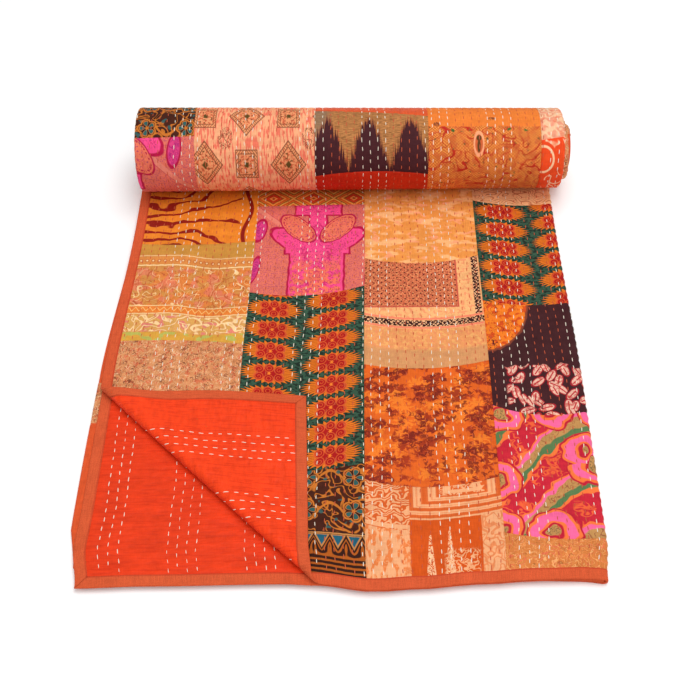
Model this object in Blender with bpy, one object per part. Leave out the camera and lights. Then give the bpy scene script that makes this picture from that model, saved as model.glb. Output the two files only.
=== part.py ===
"""A kantha quilt, folded in four across its width and rolled up from its far end.

The near left corner of the top layer is turned back over the quilt. Everything is made flat first, as
the opened-out quilt with its binding sewn on, and is then folded: a flat point is (u, v, h), where u runs
across the quilt from the open edge of the top layer, v runs from the near end towards the roll, and h is
the height over the middle of the cloth, positive on the patchwork face. Metres, +Z up, +Y towards the roll.
"""

import math

import bmesh
import bpy
from mathutils import Vector

# The quilt opened out
QUILT_WIDTH = 2.286
QUILT_LENGTH = 1.524
CLOTH_HALF = 0.0010
BOUND_HALF = 0.00055
PUFF_HEIGHT = 0.00028
FURROW_DEPTH = 0.00032

# Groups of four stitch rows run along the quilt, one group to each period of its width
FIRST_GROUP = 0.072
GROUP_PERIOD = 0.0841
GROUP_HALF = 0.0165

# The binding is a strip folded over the cloth's edge
BINDING_WIDTH = 0.0127
BINDING_OUTER = 0.00135
BINDING_INNER = 0.00085
BINDING_PAST_EDGE = 0.0010
EDGE_CLEARANCE = 0.0003
MITRE_GAP = 0.0002

# The fold in four: each run crosses the stack, and each bend joins it to the next run
LAYER_PITCH = 0.0030
FOLD_START_X = -0.2840
TOP_RUN_Z = CLOTH_HALF + 3 * LAYER_PITCH
OUTER_BEND = 1.5 * LAYER_PITCH
INNER_BEND = 0.5 * LAYER_PITCH
TOP_RUN, BOTTOM_RUN, LOWER_RUN = 0.5665, 0.5670, 0.5655
BENDS_LENGTH = math.pi * (OUTER_BEND + 2 * INNER_BEND)
UPPER_RUN = QUILT_WIDTH - BENDS_LENGTH - TOP_RUN - BOTTOM_RUN - LOWER_RUN
CLOCKWISE, ANTICLOCKWISE = -1.0, 1.0
FOLD_PATH = (
    # run length, bend radius after it, way that the bend turns
    (TOP_RUN, OUTER_BEND, CLOCKWISE),
    (BOTTOM_RUN, INNER_BEND, CLOCKWISE),
    (LOWER_RUN, INNER_BEND, ANTICLOCKWISE),
    (UPPER_RUN, None, None),
)

# How the lay departs from a true rectangle
HALF_WIDTH = 0.2855
LEFT_SPREAD, RIGHT_SPREAD = 0.010, 0.005
LOWER_SETBACK = 0.026
LOWER_PEEP = 0.006
CORNER_FLARE = 0.0035
BINDING_LIFT = BINDING_OUTER - CLOTH_HALF
WAVE_SHARE = 0.13
NEAR_EDGE_REACH = 0.16
NEAR_EDGE = (
    # place across, how far the near edge stands back there
    (-0.286, -0.0035),
    (-0.210, -0.0010),
    (-0.060, 0.0015),
    (-0.027, 0.0000),
    (0.037, -0.0075),
    (0.085, -0.0045),
    (0.150, 0.0010),
    (0.215, 0.0050),
    (0.262, 0.0060),
    (0.292, 0.0040),
)

# The turned-back corner: the crease cuts both edges at CREASE_LEG from the corner
CREASE_LEG = 0.266
CREASE_RADIUS = 0.006
CREASE_SHRINK = 0.926
FLAP_SETTLE = 0.050
FLAP_BOW = 0.0055
CREASE_TURN = math.pi * CREASE_RADIUS

# The roll: a spiral of the whole stack, one STACK_PITCH further in for each turn
ROLL_Y = 0.625
ROLL_RADIUS = 0.065
STACK_PITCH = 4 * LAYER_PITCH
TURNS = 5
STEPS_PER_TURN = 30
ROLL_LEFT, ROLL_RIGHT = -0.2895, 0.2905
LEFT_TAPER, RIGHT_TAPER = 0.0100, 0.0065
RADIUS_TAPER = 0.0035
COIL_SHIFT = 0.0115
BEAD_DEPTH = 0.0045
BEAD_POINTS = (
    # depth into the stack from its outer face, distance in from the bead's crest
    (0.0025, 0.0008),
    (0.0095, 0.0008),
)
FLAT_SPOT_STEPS = 1
SHEET_END_V = ROLL_Y + 0.004
SHEET_END_THINNING = 0.0001
SIDE_BINDING_END = ROLL_Y - 0.0015

# The origin is under the middle of the part's box, which reaches from the near binding to the roll's back
ORIGIN_X = 0.0024
ORIGIN_Y = 0.33957

SILK_PATCHWORK = ((0.80, 0.33, 0.10, 1.0), 0.70)
ORANGE_BINDING = ((0.86, 0.23, 0.07, 1.0), 0.75)


def smooth(low, high, value):
    """0 below low, 1 above high, with an even slope at both ends."""
    share = min(1.0, max(0.0, (value - low) / (high - low)))
    return share * share * (3 - 2 * share)


def table_value(table, place):
    """Reads a table of (place, value) rows, with an even slope through every row."""
    for (start, low), (end, high) in zip(table, table[1:]):
        if place <= end:
            return low + (high - low) * smooth(start, end, place)
    return table[-1][1]


def relief(u):
    """How far the quilted cloth stands out: down along a group of stitch rows, up between groups."""
    off_group = abs((u - FIRST_GROUP + GROUP_PERIOD / 2) % GROUP_PERIOD - GROUP_PERIOD / 2)
    rise = smooth(GROUP_HALF, GROUP_PERIOD / 2, off_group)
    return PUFF_HEIGHT * rise - FURROW_DEPTH * (1 - rise)


def stack_section(u):
    """(x, z) of the cloth's middle in the folded stack, u along the cloth's width."""
    x, z, heading, left = FOLD_START_X, TOP_RUN_Z, 1.0, u
    for length, radius, turn in FOLD_PATH:
        if radius is None or left <= length:
            return x + heading * left, z
        x += heading * length
        left -= length
        if left <= math.pi * radius:
            side = heading * turn
            angle = left / radius
            return x + heading * radius * math.sin(angle), z + side * radius * (1 - math.cos(angle))
        left -= math.pi * radius
        z += heading * turn * 2 * radius
        heading = -heading
    return x, z


def crease_depth(u, v):
    """Distance past the crease towards the turned-back corner, negative on the side that stays."""
    return (CREASE_LEG - u - v) / math.sqrt(2)


def turned_back(u, v, x, z):
    """A point of the top run taken over the crease: (x, y, z)."""
    depth = crease_depth(u, v)
    if depth <= 0 or u > CREASE_LEG or z < TOP_RUN_Z - LAYER_PITCH / 2:
        return x, v, z
    past = max(0.0, depth - CREASE_TURN)
    if past == 0:
        angle = depth / CREASE_RADIUS
        reach = CREASE_RADIUS * math.sin(angle)
        rise = CREASE_RADIUS * (1 - math.cos(angle))
    else:
        reach = -CREASE_SHRINK * past
        rise = 2 * CREASE_RADIUS + (LAYER_PITCH - 2 * CREASE_RADIUS) * smooth(0, FLAP_SETTLE, past)
    step = (depth - reach) / math.sqrt(2)
    bow = FLAP_BOW * math.sin(math.pi * v / CREASE_LEG) * smooth(0, 2 * FLAP_SETTLE, past)
    return x + step, v + step + bow, z + rise


def waves(x, y):
    """Slack in the lay, from 0 to 1: it lifts the stack a little between the near end and the roll."""
    across = 0.5 + 0.25 * math.sin(17.0 * x + 9.0 * y + 0.6) + 0.25 * math.sin(31.0 * y - 12.0 * x + 2.1)
    return across * smooth(0.0, 0.06, y) * (1 - smooth(ROLL_Y - 0.11, ROLL_Y - 0.03, y))


def middle(u, v):
    """Where a point of the cloth's middle lies in the folded lay."""
    x, z = stack_section(u)
    x, y, z = turned_back(u, v, x, z)
    left_share = min(1.0, max(0.0, 0.5 - x / (2 * HALF_WIDTH)))
    lower = 1 - smooth(LAYER_PITCH + CLOTH_HALF, 2 * LAYER_PITCH + CLOTH_HALF, z)
    near = 1 - smooth(0.10, 0.52, y)
    spread = smooth(0.0, 0.05, y) * (1 - smooth(0.28, 0.54, y))
    y_shift = LOWER_SETBACK * lower * left_share * near
    x_shift = RIGHT_SPREAD * spread * (1 - left_share) - LEFT_SPREAD * spread * left_share
    x_shift -= LOWER_PEEP * lower * left_share * near
    corner = (1 - lower) * smooth(0.85, 1.0, left_share) * (1 - smooth(0.0, 0.10, y))
    x_shift -= CORNER_FLARE * corner
    y_shift += table_value(NEAR_EDGE, x) * (1 - smooth(0.0, NEAR_EDGE_REACH, y))
    lift = BINDING_LIFT * (1 - smooth(BINDING_WIDTH, 3 * BINDING_WIDTH, v))
    low = TOP_RUN_Z - 3 * LAYER_PITCH
    z = z + lift + (z - low) * WAVE_SHARE * waves(x, y)
    return Vector((x + x_shift, y + y_shift, z))


def folded(u, v, h):
    """Folds a flat point, keeping its height over the cloth's middle, and moves it to the part's frame."""
    probe = 0.00005
    here = middle(u, v)
    along_u = middle(u + probe, v) - middle(u - probe, v)
    along_v = middle(u, v + probe) - middle(u, v - probe)
    place = here + along_u.cross(along_v).normalized() * h
    return place - Vector((ORIGIN_X, ORIGIN_Y, 0.0))


def slice_at(bm, point, normal, drop_front=False):
    """Cuts every face of the mesh along a plane, and drops what lies in front of it if asked."""
    whole = bm.verts[:] + bm.edges[:] + bm.faces[:]
    bmesh.ops.bisect_plane(bm, geom=whole, dist=1e-7, plane_co=point, plane_no=normal, clear_outer=drop_front)


def bend_lines():
    """u of the lines across each bend of the fold, and of the runs between them."""
    lines, runs, u = [], [], 0.0
    for length, radius, _ in FOLD_PATH:
        runs.append((u, u + length))
        u += length
        if radius is None:
            break
        parts = 7 if radius == OUTER_BEND else 5
        lines += [u + math.pi * radius * part / parts for part in range(parts + 1)]
        u += math.pi * radius
    return lines, runs


def width_lines():
    """u of every line along the quilt: bends, stitch groups where they show, and wide steps elsewhere."""
    lines, runs = bend_lines()
    top, bottom, lower, upper = runs
    group = FIRST_GROUP
    while group < QUILT_WIDTH:
        for off in (-GROUP_HALF, GROUP_HALF, GROUP_PERIOD / 2):
            shows = group + off < top[1] - 0.010 or group + off > QUILT_WIDTH - CREASE_LEG - 0.02
            if shows and group + off < QUILT_WIDTH - 0.020:
                lines.append(group + off)
        group += GROUP_PERIOD
    for start, end in (bottom, lower, (upper[0], QUILT_WIDTH - CREASE_LEG - 0.04)):
        count = max(1, round((end - start) / 0.095))
        lines += [start + (end - start) * part / count for part in range(1, count)]
    return lines


def length_lines(end):
    """v of every line across the quilt, from its near end to the end given."""
    steps = (0.034, 0.060, 0.100, 0.140, 0.180, 0.220, 0.260, 0.300, 0.345, 0.390, 0.440, 0.490, 0.530, 0.565, 0.595)
    return [v for v in steps if v < end]


def crease_lines():
    """Distances past the crease at which the turned-back corner is cut into strips."""
    turn = [CREASE_TURN * part / 7 for part in range(8)]
    settle = [CREASE_TURN + FLAP_SETTLE * part / 4 for part in (1, 2, 3, 4)]
    return [-0.012, *turn, *settle]


def cut_into_strips(bm, extra_u=(), end=SHEET_END_V):
    """Cuts a flat piece along every line that the fold needs."""
    for u in [*width_lines(), *extra_u]:
        slice_at(bm, (u, 0, 0), (1, 0, 0))
    for v in length_lines(end):
        slice_at(bm, (0, v, 0), (0, 1, 0))
    for depth in crease_lines():
        leg = CREASE_LEG - depth * math.sqrt(2)
        slice_at(bm, (leg, 0, 0), (1, 1, 0))


def finished(bm, name, finish):
    """Folds the flat mesh and makes it an object with its own material."""
    bmesh.ops.triangulate(bm, faces=bm.faces[:], quad_method="FIXED", ngon_method="BEAUTY")
    for vert in bm.verts:
        vert.co = folded(*vert.co)
    return as_object(bm, name, finish)


def as_object(bm, name, finish):
    """A mesh object that faces outwards, with one material of the given colour and roughness."""
    bmesh.ops.recalc_face_normals(bm, faces=bm.faces[:])
    if bm.calc_volume(signed=True) < 0:
        bmesh.ops.reverse_faces(bm, faces=bm.faces[:])
    mesh = bpy.data.meshes.new(name)
    bm.to_mesh(mesh)
    bm.free()
    mesh.shade_smooth()
    mesh.set_sharp_from_angle(angle=math.radians(40))
    colour, roughness = finish
    material = bpy.data.materials.new(name)
    material.use_nodes = True
    shader = material.node_tree.nodes["Principled BSDF"]
    shader.inputs["Base Color"].default_value = colour
    shader.inputs["Roughness"].default_value = roughness
    shader.inputs["Metallic"].default_value = 0.0
    mesh.materials.append(material)
    obj = bpy.data.objects.new(name, mesh)
    bpy.context.scene.collection.objects.link(obj)
    return obj


def cloth_half(u, v):
    """Half the cloth's thickness: pressed thin inside the binding, quilted where it shows."""
    bound = BINDING_WIDTH + EDGE_CLEARANCE
    if min(u, v, QUILT_WIDTH - u) < bound + 1e-5:
        return BOUND_HALF
    if v > ROLL_Y + 0.001:
        return CLOTH_HALF - SHEET_END_THINNING
    on_top = u < TOP_RUN + 0.001
    on_upper = u > QUILT_WIDTH - CREASE_LEG
    return CLOTH_HALF + (relief(u) if on_top or on_upper else 0.0)


def folded_sheet():
    """The quilt's cloth from its near end to the roll: patchwork, filling and backing quilted as one sheet."""
    bm = bmesh.new()
    bmesh.ops.create_cube(bm, size=1.0)
    bmesh.ops.scale(bm, vec=(QUILT_WIDTH, SHEET_END_V, 2 * CLOTH_HALF), verts=bm.verts[:])
    bmesh.ops.translate(bm, vec=(QUILT_WIDTH / 2, SHEET_END_V / 2, 0), verts=bm.verts[:])
    bound = BINDING_WIDTH + EDGE_CLEARANCE
    swell = bound + 0.0015
    cut_into_strips(bm, (bound, swell, QUILT_WIDTH - bound, QUILT_WIDTH - swell))
    for v in (bound, swell, ROLL_Y + 0.0002):
        slice_at(bm, (0, v, 0), (0, 1, 0))
    for vert in bm.verts:
        vert.co.z = math.copysign(cloth_half(vert.co.x, vert.co.y), vert.co.z)
    return finished(bm, "folded_sheet", SILK_PATCHWORK)


def binding_profile():
    """(distance in from the cloth's edge, height) round the folded strip, outside first."""
    past, half = BINDING_PAST_EDGE, BINDING_OUTER
    outside = [(BINDING_WIDTH, half), (0.0006, half), (-0.6 * past, 0.7 * half), (-past, 0.0)]
    inside = [(BINDING_WIDTH, BINDING_INNER), (0.0001, BINDING_INNER), (-0.00035, 0.55 * BINDING_INNER)]
    outside += [(inward, -height) for inward, height in reversed(outside[:-1])]
    inside += [(inward, -height) for inward, height in reversed(inside)]
    return outside + inside[::-1]


def binding_strip(name, place, start, end, cuts, extra_u=()):
    """A strip folded over one edge. place maps (inward, along) to (u, v), and cuts are the mitre planes."""
    bm = bmesh.new()
    ring = []
    for inward, height in binding_profile():
        u, v = place(inward, start)
        ring.append(bm.verts.new((u, v, height)))
    face = bm.faces.new(ring)
    pulled = bmesh.ops.extrude_face_region(bm, geom=[face])
    tip = [part for part in pulled["geom"] if isinstance(part, bmesh.types.BMVert)]
    first, last = Vector((*place(0, start), 0)), Vector((*place(0, end), 0))
    bmesh.ops.translate(bm, vec=last - first, verts=tip)
    for point, normal in cuts:
        slice_at(bm, point, normal, drop_front=True)
        bmesh.ops.holes_fill(bm, edges=[edge for edge in bm.edges if edge.is_boundary], sides=0)
    cut_into_strips(bm, extra_u, end=max(start, end))
    return finished(bm, name, ORANGE_BINDING)


def bindings():
    """The strip along the near end, and the strips along the two open side edges, mitred at the corners."""
    far = QUILT_WIDTH
    first_end = ((MITRE_GAP, 0, 0), (-1, 1, 0))
    last_end = ((far - MITRE_GAP, 0, 0), (1, 1, 0))
    binding_strip("binding_end", lambda inward, along: (along, inward), -0.004, far + 0.004, (first_end, last_end))
    first_side = ((-MITRE_GAP, 0, 0), (1, -1, 0))
    last_side = ((far + MITRE_GAP, 0, 0), (-1, -1, 0))
    binding_strip("binding_top_side", lambda inward, along: (inward, along), -0.004, SIDE_BINDING_END, (first_side,))
    binding_strip("binding_under_side", lambda inward, along: (far - inward, along), -0.004, SIDE_BINDING_END, (last_side,))


def coil_end(angle, right):
    """x of the roll's end at this angle along the spiral. Inner turns have slid to the right."""
    turn = angle / (2 * math.pi)
    slide = COIL_SHIFT * smooth(0.9, 2.2, turn)
    if right:
        return ROLL_RIGHT + RIGHT_TAPER * smooth(0.0, 0.5, turn) + slide
    return ROLL_LEFT + LEFT_TAPER * smooth(0.0, 0.5, turn) + slide


def roll_point(step, depth, x):
    """A point of the roll: step counts along the spiral, depth is the distance in from the stack's outer face."""
    angle = 2 * math.pi * step / STEPS_PER_TURN
    outer = ROLL_RADIUS - RADIUS_TAPER * (x - ROLL_LEFT) / (ROLL_RIGHT - ROLL_LEFT)
    radius = outer - STACK_PITCH * angle / (2 * math.pi) - depth
    z = outer - radius * math.cos(angle)
    if step <= FLAT_SPOT_STEPS:
        z = depth
    return Vector((x - ORIGIN_X, ROLL_Y + radius * math.sin(angle) - ORIGIN_Y, z))


def roll_stations():
    """x of the lines along the roll's outer face, at its stitch groups."""
    stations, group = [], FIRST_GROUP - 0.030
    while group < TOP_RUN:
        stations += [FOLD_START_X + group + off for off in (-GROUP_HALF, GROUP_HALF, GROUP_PERIOD / 2)]
        group += GROUP_PERIOD
    return [x for x in stations if ROLL_LEFT + 0.012 < x < ROLL_RIGHT - 0.012]


def coil_face(bm, right):
    """One end of the roll: a bead for each turn of the spiral. It gives back the spiral of its grooves."""
    steps = STEPS_PER_TURN * TURNS
    grooves, beads = [], []
    for step in range(steps + 1):
        crest = coil_end(2 * math.pi * step / STEPS_PER_TURN, right)
        inward = -1 if right else 1
        grooves.append(bm.verts.new(roll_point(step, 0, crest + inward * BEAD_DEPTH)))
        bead = [bm.verts.new(roll_point(step, depth, crest + inward * back)) for depth, back in BEAD_POINTS]
        beads.append(bead)
    for step in range(steps - STEPS_PER_TURN):
        here = [grooves[step], *beads[step], grooves[step + STEPS_PER_TURN]]
        after = [grooves[step + 1], *beads[step + 1], grooves[step + 1 + STEPS_PER_TURN]]
        for k in range(len(here) - 1):
            bm.faces.new((here[k], here[k + 1], after[k + 1], after[k]))
    last = steps - STEPS_PER_TURN
    core_x = grooves[steps].co.x + ORIGIN_X
    core = bm.verts.new((core_x - ORIGIN_X, ROLL_Y - ORIGIN_Y, ROLL_RADIUS))
    rim = [*grooves[last : steps + 1], *reversed(beads[last]), grooves[last]]
    for a, b in zip(rim, rim[1:]):
        bm.faces.new((a, b, core))
    for bead in beads[last + 1 :]:
        for vert in bead:
            bm.verts.remove(vert)
    return grooves, beads[0]


def roll_form():
    """The wound part as one solid: the outer turn's face, a beaded spiral at each end and the stack's way in."""
    bm = bmesh.new()
    left, left_bead = coil_face(bm, right=False)
    right, right_bead = coil_face(bm, right=True)
    rows = []
    for step in range(STEPS_PER_TURN + 1):
        row = [left[step]]
        for x in roll_stations():
            stand_out = relief(x - FOLD_START_X + 0.030) if step > 2 else 0.0
            row.append(bm.verts.new(roll_point(step, -stand_out, x)))
        rows.append([*row, right[step]])
    for below, above in zip(rows, rows[1:]):
        for k in range(len(below) - 1):
            bm.faces.new((below[k], below[k + 1], above[k + 1], above[k]))
    for k in range(1, len(rows[0]) - 2):
        bm.faces.new((rows[0][k], rows[0][k + 1], rows[-1][k + 1], rows[-1][k]))
    bm.faces.new((rows[0][0], rows[0][1], rows[-1][1], rows[-1][0], *reversed(left_bead)))
    bm.faces.new((rows[0][-1], rows[0][-2], rows[-1][-2], rows[-1][-1], *reversed(right_bead)))
    bmesh.ops.triangulate(bm, faces=bm.faces[:], quad_method="FIXED", ngon_method="BEAUTY")
    return as_object(bm, "roll_form", SILK_PATCHWORK)


def quilt():
    """The folded sheet and its roll, joined as the one cloth that they are."""
    sheet = folded_sheet()
    sheet.name = "quilt"
    roll = roll_form()
    roll.hide_render = True
    roll.display_type = "WIRE"
    joined = sheet.modifiers.new("roll", "BOOLEAN")
    joined.operation = "UNION"
    joined.solver = "EXACT"
    joined.object = roll


for old in list(bpy.data.objects):
    bpy.data.objects.remove(old, do_unlink=True)
quilt()
bindings()
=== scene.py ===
"""The looks of a kantha quilt that is folded in four across its width and rolled up from its far end.

Each piece of cloth is cut flat and is then folded. A flat point is (u, v, h): u runs across the opened-out
quilt from the open edge of the top layer, v runs from the near end towards the roll, and h is the height
over the middle of the cloth, positive on the patchwork face. Metres, +Z up, +Y towards the roll.
"""

import math

import bmesh
import bpy
import numpy as np
from mathutils import Matrix, Vector


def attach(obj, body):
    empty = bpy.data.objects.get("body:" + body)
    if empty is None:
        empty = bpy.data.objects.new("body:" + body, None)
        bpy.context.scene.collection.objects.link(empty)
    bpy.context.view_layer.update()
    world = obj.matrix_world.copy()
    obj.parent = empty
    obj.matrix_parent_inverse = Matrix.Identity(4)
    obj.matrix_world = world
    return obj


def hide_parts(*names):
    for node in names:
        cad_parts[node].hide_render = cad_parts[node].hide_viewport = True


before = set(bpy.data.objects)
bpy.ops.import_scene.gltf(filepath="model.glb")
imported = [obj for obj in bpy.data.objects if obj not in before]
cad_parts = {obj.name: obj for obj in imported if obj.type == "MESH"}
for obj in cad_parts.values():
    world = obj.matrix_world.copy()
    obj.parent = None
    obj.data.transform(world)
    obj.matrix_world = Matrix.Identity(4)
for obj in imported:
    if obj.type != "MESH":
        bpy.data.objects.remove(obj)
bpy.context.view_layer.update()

# The quilt's body: its filling and the seam allowances, as one thin closed sheet that the patchwork and the
# backing lie on. It is folded in four with the patchwork outwards, its near left corner is turned back, and
# its far end is rolled up in one piece. Everything else on the quilt takes its folds from here.

QUILT_WIDTH, QUILT_LENGTH = 2.286, 1.524
BODY_TOP, BODY_BOTTOM = 0.00025, -0.00055
LAYER_PITCH = 0.0030
CLOTH_HALF = 0.0010
FOLD_START_X = -0.2840
TOP_LAYER_Z = CLOTH_HALF + 3 * LAYER_PITCH
OUTER_BEND, INNER_BEND = 1.5 * LAYER_PITCH, 0.5 * LAYER_PITCH
TOP_RUN, BOTTOM_RUN, LOWER_RUN = 0.5665, 0.5670, 0.5655
UPPER_RUN = QUILT_WIDTH - math.pi * (OUTER_BEND + 2 * INNER_BEND) - TOP_RUN - BOTTOM_RUN - LOWER_RUN
FOLD_PATH = (
    # length of the layer, radius of the bend after it, way that the bend turns
    (TOP_RUN, OUTER_BEND, -1.0),
    (BOTTOM_RUN, INNER_BEND, -1.0),
    (LOWER_RUN, INNER_BEND, 1.0),
    (UPPER_RUN, None, None),
)
HALF_WIDTH = 0.2855
LEFT_SPREAD, RIGHT_SPREAD = 0.010, 0.005
LOWER_SETBACK, LOWER_PEEP = 0.026, 0.006
CORNER_FLARE = 0.0035
BINDING_LIFT = 0.00035
WAVE_SHARE = 0.13
NEAR_EDGE_REACH = 0.16
NEAR_EDGE = np.array((
    # place across, how far the near edge stands back there
    (-0.286, -0.0035),
    (-0.210, -0.0010),
    (-0.060, 0.0015),
    (-0.027, 0.0000),
    (0.037, -0.0075),
    (0.085, -0.0045),
    (0.150, 0.0010),
    (0.215, 0.0050),
    (0.262, 0.0060),
    (0.292, 0.0040),
))
CREASE_LEG = 0.266
CREASE_RADIUS = 0.006
CREASE_TURN = math.pi * CREASE_RADIUS
CREASE_SHRINK = 0.926
FLAP_SETTLE = 0.050
FLAP_BOW = 0.0055
ROLL_Y, ROLL_RADIUS = 0.625, 0.065
STACK_PITCH = 4 * LAYER_PITCH
ROLL_LEFT, ROLL_RIGHT = -0.2895, 0.2905
RADIUS_TAPER = 0.0035
ROLL_SHIFT, COIL_SHIFT = 0.0085, 0.0115
ORIGIN = np.array((0.0024, 0.33957, 0.0))


def ease(low, high, value):
    """0 below low, 1 above high, with an even slope at both ends."""
    share = np.clip((value - low) / (high - low), 0.0, 1.0)
    return share * share * (3 - 2 * share)


def near_edge_shift(x):
    """How far the near edge stands back at this place across the lay."""
    places, shifts = NEAR_EDGE.T
    k = np.clip(np.searchsorted(places, x) - 1, 0, len(places) - 2)
    return shifts[k] + (shifts[k + 1] - shifts[k]) * ease(places[k], places[k + 1], x)


def across_stack(u):
    """(x, z) of the cloth's middle in the stack of four layers."""
    x, z = FOLD_START_X + u, np.full_like(u, TOP_LAYER_Z)
    start, start_x, start_z, heading = 0.0, FOLD_START_X, TOP_LAYER_Z, 1.0
    for length, radius, turn in FOLD_PATH:
        along = u - start
        x = np.where(along > 0, start_x + heading * along, x)
        z = np.where(along > 0, start_z, z)
        if radius is None:
            break
        start += length
        start_x += heading * length
        side = heading * turn
        angle = (u - start) / radius
        x = np.where(angle > 0, start_x + heading * radius * np.sin(angle), x)
        z = np.where(angle > 0, start_z + side * radius * (1 - np.cos(angle)), z)
        start += math.pi * radius
        start_z += side * 2 * radius
        heading = -heading
    return x, z


def turned_back(u, v, x, z):
    """The near left corner of the top layer, taken over its crease."""
    depth = (CREASE_LEG - u - v) / math.sqrt(2)
    moves = (depth > 0) & (u < CREASE_LEG + 0.01) & (z > TOP_LAYER_Z - LAYER_PITCH / 2)
    past = np.maximum(0.0, depth - CREASE_TURN)
    angle = np.clip(depth / CREASE_RADIUS, 0.0, math.pi)
    reach = CREASE_RADIUS * np.sin(angle) - CREASE_SHRINK * past
    settled = (LAYER_PITCH - 2 * CREASE_RADIUS) * ease(0, FLAP_SETTLE, past)
    rise = CREASE_RADIUS * (1 - np.cos(angle)) + settled
    bow = FLAP_BOW * np.sin(math.pi * v / CREASE_LEG) * ease(0, 2 * FLAP_SETTLE, past)
    step = (depth - reach) / math.sqrt(2)
    y = v + np.where(moves, step + bow, 0.0)
    return x + np.where(moves, step, 0.0), y, z + np.where(moves, rise, 0.0)


def rolled(x, y, z):
    """Takes what lies past the foot of the roll up its spiral, with its height in the stack."""
    along = np.clip(y - ROLL_Y, 0.0, None)
    mean, tighten = ROLL_RADIUS - STACK_PITCH / 2, STACK_PITCH / (4 * math.pi)
    angle = (mean - np.sqrt(np.maximum(mean * mean - 4 * tighten * along, 0.0))) / (2 * tighten)
    turn = angle / (2 * math.pi)
    right_share = np.clip((x - ROLL_LEFT) / (ROLL_RIGHT - ROLL_LEFT), 0, 1)
    taper = RADIUS_TAPER * right_share * (1 - ease(1.0, 4.4, turn))
    centre = ROLL_RADIUS - taper
    radius = centre - STACK_PITCH * turn - z
    in_roll = y > ROLL_Y
    shift = ROLL_SHIFT * ease(0.0, 0.5, turn) + COIL_SHIFT * ease(0.9, 2.2, turn)
    wound_y = ROLL_Y + radius * np.sin(angle)
    wound_z = centre - radius * np.cos(angle)
    return np.where(in_roll, x + shift, x), np.where(in_roll, wound_y, y), np.where(in_roll, wound_z, z)


def middle(u, v):
    """Where the middle of the cloth lies, as an array of points."""
    x, z = across_stack(u)
    x, y, z = turned_back(u, v, x, z)
    left_share = np.clip(0.5 - x / (2 * HALF_WIDTH), 0.0, 1.0)
    lower = 1 - ease(LAYER_PITCH + CLOTH_HALF, 2 * LAYER_PITCH + CLOTH_HALF, z)
    near = 1 - ease(0.10, 0.52, y)
    spread = ease(0.0, 0.05, y) * (1 - ease(0.28, 0.54, y))
    corner = (1 - lower) * ease(0.85, 1.0, left_share) * (1 - ease(0.0, 0.10, y))
    x_shift = RIGHT_SPREAD * spread * (1 - left_share) - LEFT_SPREAD * spread * left_share
    x_shift -= LOWER_PEEP * lower * left_share * near + CORNER_FLARE * corner
    y_shift = LOWER_SETBACK * lower * left_share * near
    y_shift = y_shift + near_edge_shift(x) * (1 - ease(0.0, NEAR_EDGE_REACH, y))
    waves = 0.5 + 0.25 * np.sin(17.0 * x + 9.0 * y + 0.6) + 0.25 * np.sin(31.0 * y - 12.0 * x + 2.1)
    waves = waves * ease(0.0, 0.06, y) * (1 - ease(ROLL_Y - 0.11, ROLL_Y - 0.03, y))
    z = z + BINDING_LIFT * (1 - ease(0.0127, 0.0381, v)) + (z - CLOTH_HALF) * WAVE_SHARE * waves
    return np.stack(rolled(x + x_shift, y + y_shift, z), axis=1)


def folded(flat):
    """Folds flat points (u, v, h), keeping their height over the middle of the cloth."""
    u, v, h = flat.T
    probe = 0.00005
    along_u = middle(u + probe, v) - middle(u - probe, v)
    along_v = middle(u, v + probe) - middle(u, v - probe)
    out = np.cross(along_u, along_v)
    out /= np.linalg.norm(out, axis=1, keepdims=True)
    return middle(u, v) + out * h[:, None] - ORIGIN


def flat_points(bm):
    """The mesh's points as an array."""
    return np.array([vert.co[:] for vert in bm.verts])


def spaced(start, end, step):
    """Even places from start to end, no further apart than step."""
    return np.linspace(start, end, max(2, math.ceil((end - start) / step) + 1))


def fold_lines():
    """u of the lines that every piece needs round the bends of the fold in four."""
    lines, start = [], 0.0
    for length, radius, _ in FOLD_PATH[:-1]:
        start += length
        lines += list(spaced(start, start + math.pi * radius, 0.0019 if radius == OUTER_BEND else 0.0008))
        start += math.pi * radius
    return lines


PLAIN_U = sorted([*spaced(0, QUILT_WIDTH, 0.024), *fold_lines()])
PLAIN_V = [*spaced(0, ROLL_Y, 0.024), *spaced(ROLL_Y + 0.0065, QUILT_LENGTH, 0.0065)]
CREASE_DEPTHS = [-0.010, *spaced(0, CREASE_TURN, 0.0021), *spaced(CREASE_TURN + 0.008, 0.090, 0.010)]


def cut_along(bm, u_lines, v_lines, crease_depths=()):
    """Cuts a flat piece along lines of the quilt, so that it can bend there."""
    reach = flat_points(bm)
    low, high = reach.min(axis=0), reach.max(axis=0)
    planes = [((u, 0, 0), (1, 0, 0)) for u in u_lines if low[0] < u < high[0]]
    planes += [((0, v, 0), (0, 1, 0)) for v in v_lines if low[1] < v < high[1]]
    planes += [((CREASE_LEG - depth * math.sqrt(2), 0, 0), (1, 1, 0)) for depth in crease_depths]
    for point, normal in planes:
        whole = bm.verts[:] + bm.edges[:] + bm.faces[:]
        bmesh.ops.bisect_plane(bm, geom=whole, dist=1e-7, plane_co=point, plane_no=normal)


def finish_cloth(bm, name, material):
    """Writes the flat place of each point to the UV map, folds the piece and makes it an object."""
    flat_map = bm.loops.layers.uv.new("flat")
    for face in bm.faces:
        face.smooth = True
        for loop in face.loops:
            loop[flat_map].uv = loop.vert.co.xy
    for vert, place in zip(bm.verts, folded(flat_points(bm))):
        vert.co = place
    return finish_piece(bm, name, material)


def finish_piece(bm, name, material):
    """Makes the mesh an object that moves with the quilt."""
    mesh = bpy.data.meshes.new(name)
    bm.to_mesh(mesh)
    bm.free()
    mesh.materials.append(material)
    piece = bpy.data.objects.new(name, mesh)
    bpy.context.scene.collection.objects.link(piece)
    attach(piece, "root")
    return piece


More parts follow.
